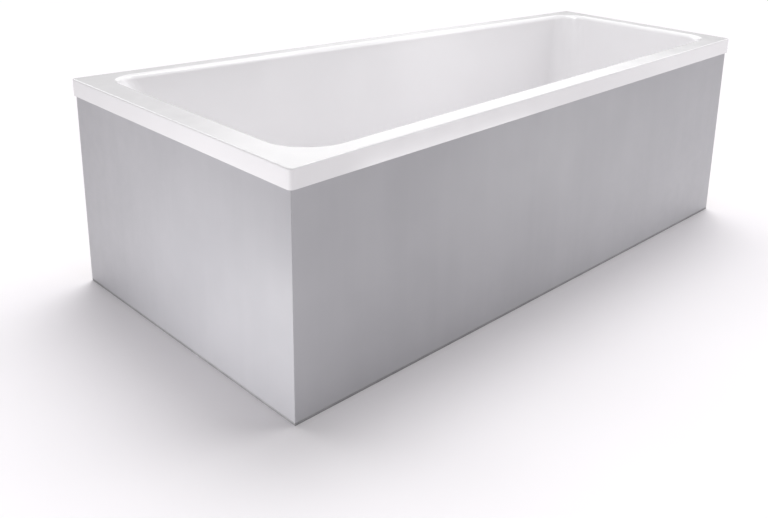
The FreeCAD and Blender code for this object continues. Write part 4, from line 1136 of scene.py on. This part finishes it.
# %% Make the two clips
CLIP_WIDTH = 0.009
# Height over the hose, and the way across the band.
BAND_SECTION = (
    (0.0, 0.0), (0.0004, -0.0001), (0.0010, 0.0004), (0.0009, 0.0012), (0.0009, CLIP_WIDTH - 0.0012),
    (0.0010, CLIP_WIDTH - 0.0004), (0.0004, CLIP_WIDTH + 0.0001), (0.0, CLIP_WIDTH),
)
BAR_SECTION = ((0.0006, 0.0020), (0.0013, 0.0020), (0.0013, 0.0070), (0.0006, 0.0070))
BAND, BAR = ([(HOSE_RADIUS + rise, way) for rise, way in section] for section in (BAND_SECTION, BAR_SECTION))
HEAD_AXIS = HOSE_RADIUS + 0.0028
# Radius, and place along the worm screw, of the round housing and of the hexagon head.
HOUSING = ((0.0036, -0.0045), (0.0041, -0.0045), (0.0041, 0.0036), (0.0030, 0.0036))
WORM_HEAD = ((0.0030, 0.0040), (0.0036, 0.0040), (0.0036, 0.0068), (0.0032, 0.0072))


def worm(radius, place, angle):
    """Past the housing, the radius of a hexagon with its corners at the given radius."""
    flats = radius * math.cos(math.pi / 6)
    return (radius if place <= HOUSING[-1][1] else hexagon_reach(flats, angle)), place


def clip_head():
    """The housing over the band, a cylinder along x, with the hollow head of the worm screw."""
    shape = bmesh.new()
    rings = spun(shape, HOUSING + WORM_HEAD, 24, worm)
    joined(shape, rings)
    shape.faces.new(rings[0])
    end = shape.faces.new(rings[-1])
    bmesh.ops.inset_individual(shape, faces=[end], thickness=0.0009)
    bmesh.ops.translate(shape, verts=end.verts[:], vec=(0, 0, -0.0008))
    over_the_band = Vector((0, HEAD_AXIS, CLIP_WIDTH / 2))
    shape.transform(framed(over_the_band, Vector((0, 1, 0)), Vector((0, 0, 1)), Vector((1, 0, 0))))
    bmesh.ops.recalc_face_normals(shape, faces=shape.faces[:])
    return shape


def hose_clip(origin, direction, outwards):
    """The shape of one clip round a place on the hose, with its head on the outward side."""
    band = ribbed("clip", turned_shape(BAND, 72), prism(BAR, 0.0005), 36, "zinc_steel")
    whole = bmesh.new()
    for part in (band, as_piece("head", clip_head())):
        whole.from_mesh(part.data)
        bpy.data.objects.remove(part)
    upwards = (outwards - direction * outwards.dot(direction)).normalized()
    whole.transform(framed(origin, upwards.cross(direction), upwards, direction))
    return whole


GAP = 0.001
both = bmesh.new()
for end, direction, outwards in (
    (HOSE_ROUTE[0], -up_the_wall, -overflow_axis),
    (HOSE_ROUTE[-1], -into_basin, Vector((0.0, 0.0, -1.0))),
):
    clip = as_piece("clip", hose_clip(Vector(end) + direction * GAP, direction, outwards))
    both.from_mesh(clip.data)
    bpy.data.objects.remove(clip)
dress(smoothed(as_piece("worm_drive_clips", both), 32.0), "zinc_steel", "tub", "hose_clips")

# %% [markdown]
# ## The sheathed cable
# A thin push-pull cable runs from the overflow to the lever under the plug. It is as
# long as its way, and both of its ends go into the tub's own parts. The curve's control
# points are the points of its route in the CAD, and its bevel gives it its thickness.

# %% Lay the cable
CABLE_ROUTE = (
    (0.02168, -0.25617, 0.44510), (-0.02169, -0.26357, 0.44510), (-0.05403, -0.26433, 0.38524),
    (-0.05898, -0.25908, 0.31834), (-0.05638, -0.25053, 0.24440), (-0.05479, -0.23605, 0.17046),
    (-0.06315, -0.19893, 0.11060), (-0.07979, -0.14902, 0.09300), (-0.07997, -0.10035, 0.09300),
    (-0.05458, -0.07675, 0.09300), (-0.01121, -0.06935, 0.09300),
)
cable = smooth_line("sheathed_cable", CABLE_ROUTE)
cable.data.bevel_depth = 0.0025
cable.data.bevel_resolution = 4
cable.data.use_fill_caps = True
cable.data.materials.append(FINISHES["cable_sheath"])
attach(cable, "tub")
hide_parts("plug_cable")

# %% [markdown]
# ## Measure and finish
# The dressed tub may not be larger than its solids, so both boxes are written down.

# %% Write the sizes and end
sizes = {"cad": [list(corner) for corner in cad_box], "visual": [list(corner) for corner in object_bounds()]}
print(sizes)
